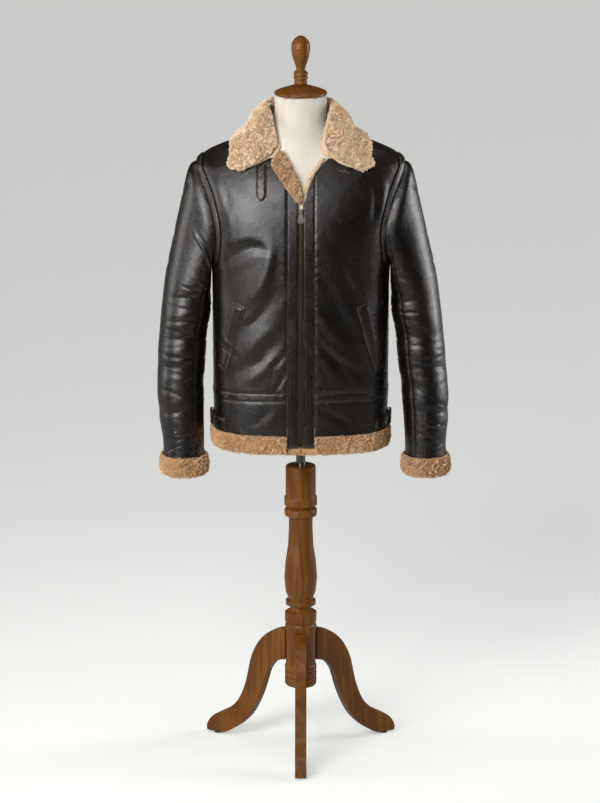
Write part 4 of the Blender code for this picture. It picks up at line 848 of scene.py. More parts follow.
def leather_wall(name, outer, inner, materials):
    """A closed wall of leather: its face, its cut edges, and its fleece side."""
    rows, columns = outer.shape[:2]
    count = rows * columns
    number = np.arange(count).reshape(rows, columns)
    face = grid_quads(number)
    edges = ((number[0], True), (number[-1], False), (number[:, 0], False), (number[:, -1], True))
    rims = []
    for line, turn_round in edges:
        a, b = line[:-1], line[1:]
        rim = np.stack([b, a, a + count, b + count], axis=-1)
        rims.append(rim if turn_round else rim[:, ::-1])
    rims = np.concatenate(rims)
    back = face[:, ::-1] + count
    points = np.concatenate([outer.reshape(-1, 3), inner.reshape(-1, 3)])
    a, b, d = points[face[:, 0]], points[face[:, 1]], points[face[:, 3]]
    facing = np.cross(b - a, d - a) * (outer - inner).reshape(-1, 3)[face[:, 0]]
    if facing.sum() < 0:
        face, rims, back = face[:, ::-1], rims[:, ::-1], back[:, ::-1]
    piece = mesh_of(name, points, [face, rims, back], materials, (0, 0, len(materials) - 1))
    away = edge_distance(outer)
    wear = np.exp(-away / 0.0035)
    add_layer(piece, "wear", np.concatenate([wear.ravel(), wear.ravel()]))
    return piece


# The least share of its flat rectangle that a cut piece fills.
LEAST_CUT = 0.31


def measured(piece):
    """The area of one side of a wall, in square metres."""
    return sum(face.area for face in piece.data.polygons) / 2


def declare_cloth(piece, width, length, held="draped"):
    """Reckon the area of a piece's cut from its flat size and its measured area; the result is not kept."""
    full = width * length
    flat_area = min(max(measured(piece), LEAST_CUT * full), full)


# ---------------------------------------------------------------- shader groups


def shader_group(name, inputs, outputs):
    """An empty node group with named sockets; each socket is (name, kind, value)."""
    group = bpy.data.node_groups.new(name, "ShaderNodeTree")
    for way, sockets in (("INPUT", inputs), ("OUTPUT", outputs)):
        for socket_name, kind, value in sockets:
            socket = group.interface.new_socket(name=socket_name, in_out=way, socket_type=kind)
            if value is not None:
                socket.default_value = value
    return group, group.nodes.new("NodeGroupInput"), group.nodes.new("NodeGroupOutput")


def feed(tree, socket, value):
    """Link another node's socket into a socket, or set the socket's own value."""
    if isinstance(value, bpy.types.NodeSocket):
        tree.links.new(value, socket)
    else:
        socket.default_value = value


def place(tree, kind, settings=None, **inputs):
    """A node with its settings and inputs; an input is a value or another node's socket."""
    node = tree.nodes.new(kind)
    for key, value in (settings or {}).items():
        setattr(node, key, value)
    for key, value in inputs.items():
        feed(tree, node.inputs[key.replace("_", " ")], value)
    return node


def arithmetic(tree, operation, first, second, clamp=False):
    node = tree.nodes.new("ShaderNodeMath")
    node.operation = operation
    node.use_clamp = clamp
    for socket, value in zip(node.inputs, (first, second)):
        feed(tree, socket, value)
    return node.outputs[0]


def times(tree, first, second, clamp=False):
    return arithmetic(tree, "MULTIPLY", first, second, clamp)


def plus(tree, first, second):
    return arithmetic(tree, "ADD", first, second)


def spread(tree, value, low, high, to_low=0.0, to_high=1.0):
    node = tree.nodes.new("ShaderNodeMapRange")
    node.interpolation_type = "SMOOTHSTEP"
    tree.links.new(value, node.inputs["Value"])
    for key, number in (("From Min", low), ("From Max", high), ("To Min", to_low), ("To Max", to_high)):
        node.inputs[key].default_value = number
    return node.outputs["Result"]


def blend_of(tree, share, first, second):
    node = tree.nodes.new("ShaderNodeMix")
    node.data_type = "RGBA"
    for socket, value in ((node.inputs[0], share), (node.inputs[6], first), (node.inputs[7], second)):
        feed(tree, socket, value)
    return node.outputs[2]


def object_place(tree, scale=(1.0, 1.0, 1.0), turn=(0.0, 0.0, 0.0)):
    spot = tree.nodes.new("ShaderNodeTexCoord").outputs["Object"]
    return place(tree, "ShaderNodeMapping", Vector=spot, Scale=scale, Rotation=turn).outputs["Vector"]


def noise_of(tree, vector, scale, detail, rough, output="Fac"):
    noise = place(tree, "ShaderNodeTexNoise", Vector=vector, Scale=scale, Detail=detail, Roughness=rough)
    return noise.outputs[output]


def layer_of(tree, name):
    """A number that a mesh carries on its points."""
    return place(tree, "ShaderNodeAttribute", {"attribute_name": name}).outputs["Fac"]


def grain_group():
    """Leather grain: pebbles of about a millimetre with fine wrinkles running through them."""
    group, inside, outside = shader_group(
        "leather_grain",
        [("Place", "NodeSocketVector", None), ("Pebble Scale", "NodeSocketFloat", 900.0)],
        [("Height", "NodeSocketFloat", None), ("Wrinkle", "NodeSocketFloat", None)],
    )
    where = inside.outputs["Place"]
    shifted = noise_of(group, where, 130.0, 2.0, 0.5, "Color")
    bent = place(group, "ShaderNodeVectorMath", {"operation": "MULTIPLY_ADD"})
    group.links.new(shifted, bent.inputs[0])
    bent.inputs[1].default_value = (0.004, 0.004, 0.004)
    group.links.new(where, bent.inputs[2])
    pebble = place(group, "ShaderNodeTexVoronoi", {"feature": "DISTANCE_TO_EDGE"}, Vector=bent.outputs[0])
    group.links.new(inside.outputs["Pebble Scale"], pebble.inputs["Scale"])
    gaps = spread(group, pebble.outputs["Distance"], 0.0, 0.14)
    wide = noise_of(group, where, 160.0, 4.0, 0.6)
    cell = place(group, "ShaderNodeTexVoronoi", {"feature": "DISTANCE_TO_EDGE"}, Vector=bent.outputs[0])
    cell.inputs["Scale"].default_value = 210.0
    wrinkle = spread(group, cell.outputs["Distance"], 0.0, 0.06)
    soft = noise_of(group, where, 70.0, 4.0, 0.62)
    height = plus(group, times(group, gaps, 0.07), times(group, wide, 0.38))
    height = plus(group, height, times(group, soft, 0.75))
    height = plus(group, height, times(group, wrinkle, 0.05))
    group.links.new(height, outside.inputs["Height"])
    group.links.new(wrinkle, outside.inputs["Wrinkle"])
    return group


def rub_group():
    """Rubbing: 1 where the leather's edges have lost some of their dark finish, in patches."""
    group, inside, outside = shader_group(
        "rubbed_edges",
        [
            ("Place", "NodeSocketVector", None), ("Wear", "NodeSocketFloat", 0.0),
            ("Amount", "NodeSocketFloat", 0.6),
        ],
        [("Rubbed", "NodeSocketFloat", None)],
    )
    patchy = spread(group, noise_of(group, inside.outputs["Place"], 26.0, 4.0, 0.6), 0.42, 0.72)
    at_edge = times(group, inside.outputs["Wear"], inside.outputs["Amount"])
    worn = times(group, at_edge, plus(group, patchy, 0.35), True)
    group.links.new(worn, outside.inputs["Rubbed"])
    return group


def mottle_group():
    """Slow uneven colour: 0 to 1 over patches of a given size."""
    group, inside, outside = shader_group(
        "slow_mottle",
        [("Place", "NodeSocketVector", None), ("Scale", "NodeSocketFloat", 9.0)],
        [("Mottle", "NodeSocketFloat", None)],
    )
    node = place(group, "ShaderNodeTexNoise", Vector=inside.outputs["Place"], Detail=3.0, Roughness=0.5)
    group.links.new(inside.outputs["Scale"], node.inputs["Scale"])
    group.links.new(spread(group, node.outputs["Fac"], 0.34, 0.66), outside.inputs["Mottle"])
    return group


GRAIN = grain_group()
RUB = rub_group()
MOTTLE = mottle_group()


def use_group(tree, group, **inputs):
    return place(tree, "ShaderNodeGroup", {"node_tree": group}, **inputs)


def new_material(name, roughness, metallic=0.0, **values):
    material = bpy.data.materials.new(name)
    material.use_nodes = True
    tree = material.node_tree
    shader = tree.nodes["Principled BSDF"]
    shader.inputs["Roughness"].default_value = roughness
    shader.inputs["Metallic"].default_value = metallic
    for key, value in values.items():
        shader.inputs[key.replace("_", " ")].default_value = value
    return material, tree, shader


def bump_into(tree, shader, height, distance, strength=1.0):
    bump = place(tree, "ShaderNodeBump", Strength=strength, Distance=distance, Height=height)
    tree.links.new(bump.outputs["Normal"], shader.inputs["Normal"])


# ---------------------------------------------------------------- materials


def leather_material(name, dark, brown, rubbed, roughness, rub_amount, grain_depth):
    material, tree, shader = new_material(
        name, roughness, Coat_Weight=0.06, Coat_Roughness=0.14, Specular_IOR_Level=0.58
    )
    where = object_place(tree)
    wear = layer_of(tree, "wear")
    grain = use_group(tree, GRAIN, Place=where)
    rub = use_group(tree, RUB, Place=where, Wear=wear, Amount=rub_amount)
    mottle = use_group(tree, MOTTLE, Place=where, Scale=11.0)
    tone = blend_of(tree, mottle.outputs["Mottle"], dark, brown)
    tone = blend_of(tree, rub.outputs["Rubbed"], tone, rubbed)
    tree.links.new(tone, shader.inputs["Base Color"])
    uneven = noise_of(tree, where, 38.0, 4.0, 0.65)
    rough = plus(tree, times(tree, uneven, 0.16), roughness - 0.08)
    tree.links.new(rough, shader.inputs["Roughness"])
    bump_into(tree, shader, grain.outputs["Height"], grain_depth)
    return material


def fleece_material(name, root, body, tip, spot, spot_share):
    """Fleece: pale at the tips, with brown spots and pale patches, and darker at the roots and on its
    ground: partly its own colour, partly painted shade in the depth of the pile.
    """
    material, tree, shader = new_material(name, 0.85, Sheen_Weight=0.25, Sheen_Roughness=0.4)
    where = object_place(tree)
    layer = layer_of(tree, "tip")
    lock = layer_of(tree, "lock")
    mottle = use_group(tree, MOTTLE, Place=where, Scale=21.0)
    blotch = spread(tree, noise_of(tree, where, 40.0, 4.0, 0.62), 0.53, 0.72)
    # the root colour on the lower locks and on the ground is partly the fleece's own colour and partly
    # painted shade in the depth of the pile
    tone = blend_of(tree, spread(tree, layer, 0.0, 0.55), root, body)
    pale = times(tree, spread(tree, layer, 0.45, 1.0), mottle.outputs["Mottle"])
    tone = blend_of(tree, times(tree, pale, 0.85), tone, tip)
    tone = blend_of(tree, times(tree, blotch, spot_share), tone, spot)
    shade = plus(tree, times(tree, lock, 0.24), 0.88)
    tinted = place(tree, "ShaderNodeVectorMath", {"operation": "SCALE"})
    tree.links.new(tone, tinted.inputs[0])
    tree.links.new(shade, tinted.inputs["Scale"])
    tree.links.new(tinted.outputs[0], shader.inputs["Base Color"])
    return material


def lining_material():
    material, tree, shader = new_material("fleece_lining", 0.95)
    where = object_place(tree)
    curls = noise_of(tree, where, 320.0, 4.0, 0.7)
    tone = blend_of(tree, curls, (0.24, 0.13, 0.06, 1), (0.60, 0.42, 0.25, 1))
    tree.links.new(tone, shader.inputs["Base Color"])
    bump_into(tree, shader, curls, 0.003, 0.9)
    return material


def linen_material():
    material, tree, shader = new_material("cream_linen_cover", 0.82, Sheen_Weight=0.15)
    where = object_place(tree)
    threads = []
    for direction in ("X", "Z"):
        wave = place(
            tree, "ShaderNodeTexWave", {"bands_direction": direction}, Vector=where,
            Scale=420.0, Distortion=1.2, Detail=1.0,
        )
        threads.append(wave.outputs["Fac"])
    weave = arithmetic(tree, "MAXIMUM", threads[0], threads[1])
    slubs = noise_of(tree, object_place(tree, (60.0, 60.0, 900.0)), 1.0, 3.0, 0.6)
    mottle = use_group(tree, MOTTLE, Place=where, Scale=14.0)
    tone = blend_of(tree, mottle.outputs["Mottle"], (0.70, 0.64, 0.54, 1), (0.80, 0.75, 0.65, 1))
    tone = blend_of(tree, times(tree, slubs, 0.35), tone, (0.56, 0.49, 0.38, 1))
    tree.links.new(tone, shader.inputs["Base Color"])
    bump_into(tree, shader, weave, 0.0004, 0.5)
    return material


def wood_material(name, turn=(0.0, 0.0, 0.0)):
    """Varnished hardwood with long grain, darker pores and a clear coat."""
    material, tree, shader = new_material(
        name, 0.42, Coat_Weight=0.10, Coat_Roughness=0.14, Specular_IOR_Level=0.24
    )
    along = object_place(tree, (1.0, 1.0, 0.07), turn)
    bands = place(
        tree, "ShaderNodeTexWave", {"wave_type": "BANDS", "bands_direction": "DIAGONAL"}, Vector=along,
        Scale=26.0, Distortion=9.0, Detail=3.0, Detail_Scale=1.6,
    ).outputs["Fac"]
    fibres = noise_of(tree, object_place(tree, (620.0, 620.0, 16.0), turn), 1.0, 3.0, 0.65)
    patches = noise_of(tree, object_place(tree, (16.0, 16.0, 5.0), turn), 1.0, 2.0, 0.5)
    pale, deep = (0.130, 0.043, 0.0042, 1), (0.188, 0.071, 0.0070, 1)
    dull, pore = (0.118, 0.038, 0.0052, 1), (0.045, 0.013, 0.0030, 1)
    tone = blend_of(tree, spread(tree, bands, 0.1, 0.9), pale, deep)
    tone = blend_of(tree, spread(tree, patches, 0.35, 0.7, 0.0, 0.55), tone, dull)
    tone = blend_of(tree, spread(tree, fibres, 0.55, 0.75, 0.0, 0.6), tone, pore)
    tree.links.new(tone, shader.inputs["Base Color"])
    bump_into(tree, shader, fibres, 0.0003, 0.25)
    return material


def metal_material(name, tone, roughness):
    material, tree, shader = new_material(name, roughness, 1.0)
    where = object_place(tree)
    smear = noise_of(tree, where, 300.0, 3.0, 0.6)
    darker = tuple(c * 0.62 for c in tone[:3]) + (1,)
    tree.links.new(blend_of(tree, smear, tone, darker), shader.inputs["Base Color"])
    rough = plus(tree, times(tree, smear, 0.18), roughness - 0.06)
    tree.links.new(rough, shader.inputs["Roughness"])
    return material


def plain_material(name, tone, roughness):
    """Matte stuff with a fine grit, such as tape, thread or rubber."""
    material, tree, shader = new_material(name, roughness)
    fine = noise_of(tree, object_place(tree), 900.0, 3.0, 0.6)
    lighter = tuple(min(c * 1.9, 1.0) for c in tone[:3]) + (1,)
    tree.links.new(blend_of(tree, fine, tone, lighter), shader.inputs["Base Color"])
    bump_into(tree, shader, fine, 0.0003, 0.5)
    return material


ESPRESSO = leather_material(
    "espresso_leather", dark=(0.0038, 0.0026, 0.0016, 1), brown=(0.0092, 0.0052, 0.0028, 1),
    rubbed=(0.034, 0.021, 0.014, 1), roughness=0.275, rub_amount=0.40, grain_depth=0.0007,
)
TRIM_LEATHER = leather_material(
    "espresso_trim_leather", dark=(0.0036, 0.0025, 0.0016, 1), brown=(0.0084, 0.0049, 0.0028, 1),
    rubbed=(0.078, 0.053, 0.037, 1), roughness=0.27, rub_amount=0.75, grain_depth=0.0006,
)
LINING = lining_material()
# Each fleece's root colour is partly its own colour and partly painted shade in the depth of the pile.
COLLAR_FLEECE = fleece_material(
    "collar_fleece", root=(0.64, 0.455, 0.285, 1), body=(0.80, 0.615, 0.405, 1),
    tip=(0.96, 0.85, 0.71, 1), spot=(0.40, 0.235, 0.120, 1), spot_share=0.34,
)
# The lapel's fleece: a darker copy of the edge fleece, painted shade from the collar's leaf above it.
SHADED_LAPEL_FLEECE = fleece_material(
    "lapel_fleece", root=(0.40, 0.225, 0.110, 1), body=(0.55, 0.335, 0.175, 1),
    tip=(0.85, 0.62, 0.41, 1), spot=(0.22, 0.105, 0.046, 1), spot_share=0.45,
)
EDGE_FLEECE = fleece_material(
    "edge_fleece", root=(0.44, 0.240, 0.105, 1), body=(0.64, 0.385, 0.190, 1),
    tip=(0.90, 0.68, 0.45, 1), spot=(0.26, 0.120, 0.050, 1), spot_share=0.45,
)
LINEN = linen_material()
WOOD = wood_material("varnished_wood")
LEG_WOOD = wood_material("varnished_leg_wood", (0.0, 0.5, 0.0))
STEEL = metal_material("brushed_nickel", (0.46, 0.44, 0.41, 1), 0.26)
ZIP_STEEL = metal_material("zip_slider_nickel", (0.27, 0.26, 0.235, 1), 0.30)
POLE_STEEL = metal_material("polished_pole_steel", (0.34, 0.33, 0.31, 1), 0.16)
BRONZE = metal_material("darkened_brass", (0.16, 0.125, 0.080, 1), 0.36)
TAPE = plain_material("zip_tape_weave", (0.012, 0.009, 0.008, 1), 0.9)
THREAD = plain_material("waxed_thread", (0.030, 0.019, 0.013, 1), 0.6)
RUBBER = plain_material("glide_rubber", (0.015, 0.014, 0.013, 1), 0.7)
LEATHER_SIDES = (ESPRESSO, LINING)

# ---------------------------------------------------------------- the leather panels


def body_wall(node, turn, height, out, seed, depth, size):
    """A piece of the body's leather, with rolled seams and a fleece side."""
    outer = body_point(turn, height, out)
    inner = body_point(turn, height, out - LEATHER)
    outer = seam_roll(outer, unit(outer - inner), ALL_EDGES, depth, seed)
    piece = leather_wall("leather_" + node, outer, inner, LEATHER_SIDES)
    dress(piece, "coat", "leather", node)
    declare_cloth(piece, *size)


def body_level(nodes, rows, out, seeds, depth, sizes):
    """The right, the left and the back piece of one level of the body.

    nodes, seeds and sizes are for the front pieces and the back; rows gives a half grid of either."""
    turn, height = rows(False)
    for side in (-1, 1):
        node = nodes[0] + side_name(side)
        body_wall(node, turn * side, height, out, seeds[0] + side, depth, sizes[0])
    turn, height = both_sides(*rows(True))
    body_wall(nodes[1], turn, height, out, seeds[1], depth, sizes[1])


def make_fronts_and_back():
    body_level(("front_", "back"), panel_rows, 0.0, (5, 8), 0.0013, ((0.215, 0.545), (0.470, 0.570)))


BandRow = namedtuple("BandRow", "name low high rows out depth deep")
BANDS = rows_of(
    BandRow,
    ("waist_strip_", STRIP_BOTTOM + HALF_GAP, STRIP_TOP - HALF_GAP, 10, LIFT, 0.0010, 0.020),
    ("hem_band_", HEM_LINE + HALF_GAP, STRIP_BOTTOM - HALF_GAP, 22, 0.0, 0.0013, 0.080),
)


def make_bands():
    for band in BANDS:
        body_level(
            (band.name, band.name + "back"), lambda back: level_rows(back, band.low, band.high, band.rows),
            band.out, (11, 15), band.depth, ((0.205, band.deep), (0.430, band.deep)),
        )


SLEEVE_RADIUS = 0.055
SLEEVE_RINGS = 196
AROUND_STEP = 3.6


def make_sleeves():
    seam = math.degrees(HALF_GAP / SLEEVE_RADIUS)
    alongs = np.linspace(0.0, SLEEVE_END, SLEEVE_RINGS)
    for side in (-1, 1):
        for name, first, last, width in (
            ("sleeve_under_", FRONT_SEAM + seam, BACK_SEAM - seam, 0.150),
            ("sleeve_top_", BACK_SEAM + seam, 360 + FRONT_SEAM - seam, 0.235),
        ):
            arounds = np.linspace(first, last, round((last - first) / AROUND_STEP) + 1)
            outer = sleeve_point(arounds, alongs, 0.0, side)
            inner = sleeve_point(arounds, alongs, -LEATHER, side)
            seams = (True, False, True, True)
            outer = seam_roll(outer, unit(outer - inner), seams, 0.0014, 21, reach=0.007, pucker=0.0006)
            node = name + side_name(side)
            outer, inner = mirrored(outer, side), mirrored(inner, side)
            piece = leather_wall("leather_" + node, outer, inner, LEATHER_SIDES)
            dress(piece, "coat", "leather", node)
            declare_cloth(piece, width, 0.640, "hung")


# ---------------------------------------------------------------- fleece


def grid_normals(grid, ring_rows):
    """Outward normals of a tube of points, whose columns run round it."""
    across = np.roll(grid, -1, 1) - np.roll(grid, 1, 1)
    down = np.roll(grid, -1, 0) - np.roll(grid, 1, 0) if ring_rows else np.gradient(grid, axis=0)
    normals = unit(np.cross(across, down))
    centre = grid.mean(axis=1, keepdims=True)
    return -normals if ((grid - centre) * normals).sum() < 0 else normals


def tube(name, grid, ring_rows, materials):
    """A closed tube through rings of points; its ends are closed by a fan unless its rows join."""
    rows, columns = grid.shape[:2]
    number = np.arange(rows * columns).reshape(rows, columns)
    wrapped = np.hstack([number, number[:, :1]])
    if ring_rows:
        wrapped = np.vstack([wrapped, wrapped[:1]])
    faces = [grid_quads(wrapped)]
    points = grid.reshape(-1, 3)
    if not ring_rows:
        points = np.vstack([points, grid[0].mean(axis=0), grid[-1].mean(axis=0)])
        first, last = rows * columns, rows * columns + 1
        a, b = number[0], np.roll(number[0], -1)
        faces.append(np.stack([b, a, np.full(columns, first)], axis=-1))
        a, b = number[-1], np.roll(number[-1], -1)
        faces.append(np.stack([a, b, np.full(columns, last)], axis=-1))
    q = faces[0]
    facing = np.cross(points[q[:, 1]] - points[q[:, 0]], points[q[:, 3]] - points[q[:, 0]])
    if (facing * grid_normals(grid, ring_rows).reshape(-1, 3)[q[:, 0]]).sum() < 0:
        faces = [array[:, ::-1] for array in faces]
    return mesh_of(name, points, faces, materials, smooth_angle=60)


LOCK_THICK = 0.0008
LOCK_POINTS = 5
LEAST_LOCK = 0.35
SWIRL, SWEEP, STRAY, DROOP = 0.0020, 0.0014, 0.0006, 0.0010
TUFT_STEP = 8
CURL = 0.0011

# A pile in one part: the end of its name, and the rows it covers.
WHOLE = (("", slice(None)),)


def lumpy(points, seed):
    """The slow rise and fall of a fleece, in metres."""
    return undulate(points, 0.034, seed + 21) * 0.0007 + undulate(points, 0.018, seed + 22) * 0.0005


def make_pile(name, grid, normals, ring_rows, weight, length, density, seed, materials):
    """Curled locks of fleece standing on a surface: tapered, bent, and drawn together in tufts."""
    rng = np.random.default_rng(seed)
    layers = []
    for array in (grid, normals, weight[..., None]):
        wide = np.concatenate([array, array[:, :1]], axis=1)
        layers.append(np.concatenate([wide, wide[:1]]) if ring_rows else wide)
    places, facings, weights = layers
    corners = [
        (slice(None, -1), slice(None, -1)), (slice(None, -1), slice(1, None)),
        (slice(1, None), slice(1, None)), (slice(1, None), slice(None, -1)),
    ]
    p = [places[c].reshape(-1, 3) for c in corners]
    area = np.linalg.norm(np.cross(p[2] - p[0], p[3] - p[1]), axis=-1) / 2
    cell_weight = sum(weights[c].reshape(-1) for c in corners) / 4
    chance = area * cell_weight
    count = int(chance.sum() * density * (1.0))
    picked = rng.choice(len(chance), size=count, p=chance / chance.sum())
    u, v = rng.random((2, count, 1))

    def at(array):
        a, b, c, d = (array[corner].reshape(-1, array.shape[-1])[picked] for corner in corners)
        return (a * (1 - u) + b * u) * (1 - v) + (d * (1 - u) + c * u) * v

    spot, facing = at(places), unit(at(facings))
    full = np.clip(at(weights)[:, 0], LEAST_LOCK, 1.0)
    swirl = np.stack([undulate(spot, 0.015, seed + k) for k in (1, 2, 3)], axis=-1)
    sweep = np.stack([undulate(spot, 0.070, seed + k) for k in (4, 5, 6)], axis=-1)
    lean = swirl * SWIRL + sweep * SWEEP + rng.normal(size=(count, 3)) * STRAY
    lean[:, 2] -= DROOP
    lean -= facing * (lean * facing).sum(-1, keepdims=True)
    high = rng.uniform(-0.0010, 0.0007, count) + undulate(spot, 0.012, seed + 7) * 0.0010
    high = high + lumpy(spot, seed)
    tip = spot + facing * (high * full)[:, None] + lean * full[:, None]
    centres = range(0, count, TUFT_STEP)
    tree = KDTree(len(centres))
    for k in centres:
        tree.insert(spot[k], k)
    tree.balance()
    gather = np.array([tree.find(place)[1] for place in spot])
    pull = rng.uniform(0.35, 0.75, (count, 1))
    tip = tip + (tip[gather] - tip) * pull
    root = spot - facing * (length * full)[:, None]
    curl = np.cross(facing, rng.normal(size=(count, 3))) * CURL
    bend = root * 0.42 + tip * 0.58 + curl
    along = unit(tip - root)
    first = unit(np.cross(along, rng.normal(size=(count, 3))))
    second = np.cross(along, first)
    thick = (LOCK_THICK * rng.uniform(0.7, 1.25, count) * full)[:, None]
    points = [root]
    for k in range(3):
        spin = math.tau * k / 3
        points.append(bend + (first * math.cos(spin) + second * math.sin(spin)) * thick)
    points = np.stack(points + [tip], axis=1)
    base = (np.arange(count) * LOCK_POINTS)[:, None]
    faces = [base + np.array([[0, 1 + (k + 1) % 3, 1 + k]]) for k in range(3)]
    faces += [base + np.array([[1 + k, 1 + (k + 1) % 3, 4]]) for k in range(3)]
    piece = mesh_of(name, points, [np.concatenate(faces)], materials, smooth_angle=80)
    add_layer(piece, "tip", np.tile([0.0, 0.6, 0.6, 0.6, 1.0], count))
    add_layer(piece, "lock", np.repeat(rng.random(count), LOCK_POINTS))
    return piece


def fleece(node, grid, weight, length, sink, material, seed, density, ring_rows=False, parts=WHOLE):
    """A fleece solid's look: a lumpy ground with its pile on it, in one part or more.

    sink is how far the ground lies under the solid's surface, and density counts locks in a
    square metre."""
    weight = np.broadcast_to(weight, grid.shape[:2]).astype(float)
    normals = grid_normals(grid, ring_rows)
    lumps = (undulate(grid, 0.013, seed + 11) * 0.0008 + lumpy(grid, seed)) * weight
    ground = grid - normals * (0.0003 + sink * weight - lumps)[..., None]
    piece = tube("fleece_" + node, ground, ring_rows, (material,))
    # the ground gets mostly the root colour: painted shade between the locks, partly the fleece's own colour
    add_layer(piece, "tip", np.full(len(piece.data.vertices), 0.22))
    add_layer(piece, "lock", np.full(len(piece.data.vertices), 0.4))
    dress(piece, "coat", "shearling", node)
    piles = []
    for part, rows in parts:
        pile = make_pile(
            "pile_" + node + part, grid[rows], normals[rows], ring_rows, weight[rows], length, density,
            seed + len(piles), (material,),
        )
        piles.append(dress(pile, "coat", "shearling"))
    return piece


def section_weight(values, per_side):
    """Weights given for a section's corners, spread over its finer points."""
    wide = np.array(list(values) + [values[0]], dtype=float)
    return np.interp(np.arange(len(values) * per_side) / per_side, np.arange(len(wide)), wide)


def fine_loops(loops, per_side):
    return np.array([rounded_loop(loop, per_side) for loop in loops])


COLLAR_PER_SIDE = 4
COLLAR_WEIGHT = (0.3, 0.9, 1.0, 1.0, 1.0, 1.0, 1.0, 1.0, 1.0, 1.0, 0.8, 0.2, 0.0, 0.0)
COLLAR_ENDS = ((0.72, 0.0068), (0.45, 0.0058), (0.20, 0.0036), (0.07, 0.0015))


def collar_loops(at, side):
    """The collar's sections at stations of the table COLLAR, built as on the left side."""
    value = {
        name: spline([getattr(row, name) for row in COLLAR], at) for name in CollarRow._fields
    }
    angle = np.radians(value["fold_turn"])
    if side > 0:
        closer = LEFT_TUCK * np.clip((170 - value["fold_turn"]) / 60, 0.0, 1.0)
        value["fold_reach"] = value["fold_reach"] - closer
        value["thick"] = value["thick"] - closer * 0.9
    outward = np.stack([np.sin(angle), -np.cos(angle), np.zeros(len(at))], axis=-1)
    fold = outward * value["fold_reach"][:, None]
    fold[:, 2] = value["fold_height"]
    upward = np.array([0.0, 0.0, 1.0])

    def leaf(share, out):
        turn = between(value["seam_turn"], value["edge_turn"], share)
        height = between(value["seam_height"], value["edge_height"], share)
        out = np.broadcast_to(out, turn.shape)
        return bare_shell(turn, height) + body_normal(turn, height) * out[:, None]

    thick = value["thick"]
    inner_fold = fold - outward * FOLD_HALF - upward * 0.010
    outer_fold = fold + outward * FOLD_HALF - upward * 0.006
    base = bare_shell(value["seam_turn"], value["seam_height"]) + outward * 0.0008 + upward * 0.0050
    crown = leaf(0.62, LEAF_CLEARANCE + thick)
    loop = [
        base,
        (base + inner_fold) / 2 + outward * 0.0006,
        inner_fold,
        fold - outward * (FOLD_HALF * 0.55) - upward * 0.002,
        fold + outward * (FOLD_HALF * 0.35),
        outer_fold,
        (outer_fold + crown) / 2 + outward * 0.0075,
        crown,
        leaf(0.90, LEAF_CLEARANCE + thick * 0.76),
        leaf(1.03, LEAF_CLEARANCE + thick * 0.38),
        leaf(0.98, LEAF_CLEARANCE + thick * 0.02),
        leaf(0.60, LEAF_CLEARANCE),
        leaf(0.28, 0.0052),
        leaf(0.04, 0.0013),
    ]
    return np.stack(loop, axis=1)


def collar_half(side):
    """One half's sections, from the rounded end at the front to the middle of the back."""
    half = collar_loops(np.linspace(0.0, 8.0, 97), side)
    near = collar_loops(np.array([0.0, 0.35]), side)
    step = unit(near[0, 7] - near[1, 7])
    middle = half[0].mean(axis=0)
    ends = [between(half[0], middle, shrink) + step * push for shrink, push in COLLAR_ENDS]
    return mirrored(np.concatenate([np.array(ends), half]), side)


def make_collar():
    whole = np.concatenate([collar_half(1), collar_half(-1)[-2::-1]])
    grid = fine_loops(whole, COLLAR_PER_SIDE)
    weight = section_weight(COLLAR_WEIGHT, COLLAR_PER_SIDE)
    middle = len(grid) // 2
    halves = (("_left", slice(0, middle + 1)), ("_right", slice(middle, None)))
    fleece(
        "collar", grid, weight, length=0.0070, sink=0.0050, material=COLLAR_FLEECE, seed=31,
        density=310000.0, parts=halves,
    )


def make_facings():
    at = np.linspace(0, len(LAPEL) - 1, 41)
    fields = [spline([getattr(row, name) for row in LAPEL], at) for name in LapelRow._fields]
    outer_x, outer_z, inner_x, inner_z, thick = fields
    upper = ((0.0, 0.30), (0.12, 0.80), (0.50, 1.0), (0.88, 0.80), (1.0, 0.30))
    points = []
    for share, rise in upper + ((0.92, 0.0), (0.5, 0.0), (0.08, 0.0)):
        across, height = between(outer_x, inner_x, share), between(outer_z, inner_z, share)
        points.append(front_point(across, height, 0.0016 + thick * rise))
    grid = fine_loops(np.stack(points, axis=1), 4)
    weight = section_weight((1.0, 1.0, 1.0, 1.0, 1.0, 0.2, 0.0, 0.2), 4)
    # the lapel's fleece carries painted shade from the collar above it
    fleece(
        "facing_right", grid, weight, length=0.0065, sink=0.0042, material=SHADED_LAPEL_FLEECE, seed=51,
        density=330000.0,
    )
    along = np.linspace(0, len(NECK_EDGE) - 1, 36)
    across, height = spline([p[0] for p in NECK_EDGE], along), spline([p[1] for p in NECK_EDGE], along)
    swell = np.sin(np.clip(along, 0.0, 5.0) / 5.0 * math.pi) ** 0.35
    thick, width = 0.0035 + 0.0025 * swell, 0.0050 + 0.0050 * swell
    points = []
    for share, rise in ((0.0, 0.6), (0.45, 1.0), (0.85, 0.7), (1.0, 0.2), (0.55, 0.0), (0.0, 0.0)):
        step = width * share
        points.append(front_point(across - step * 0.80, height + step * 0.60, -0.0008 + thick * rise))
    grid = fine_loops(np.stack(points, axis=1), 4)
    weight = section_weight((0.6, 0.9, 0.9, 0.7, 0.0, 0.0), 4)
    fleece(
        "facing_left", grid, weight, length=0.0040, sink=0.0022, material=COLLAR_FLEECE, seed=57,
        density=380000.0,
    )


ROLL_PER_SIDE = 4
ROLL_WEIGHT = (0.8, 1.0, 1.0, 1.0, 1.0, 1.0, 1.0, 0.7, 0.0, 0.0, 0.0)


def edge_fleece(node, grid, weight, seed, density, ring_rows=False):
    """A roll of fleece turned out at an edge; its cut is as long as the girth."""
    fleece(
        node, grid, weight, length=0.0070, sink=0.0048, material=EDGE_FLEECE, seed=seed,
        density=density, ring_rows=ring_rows,
    )


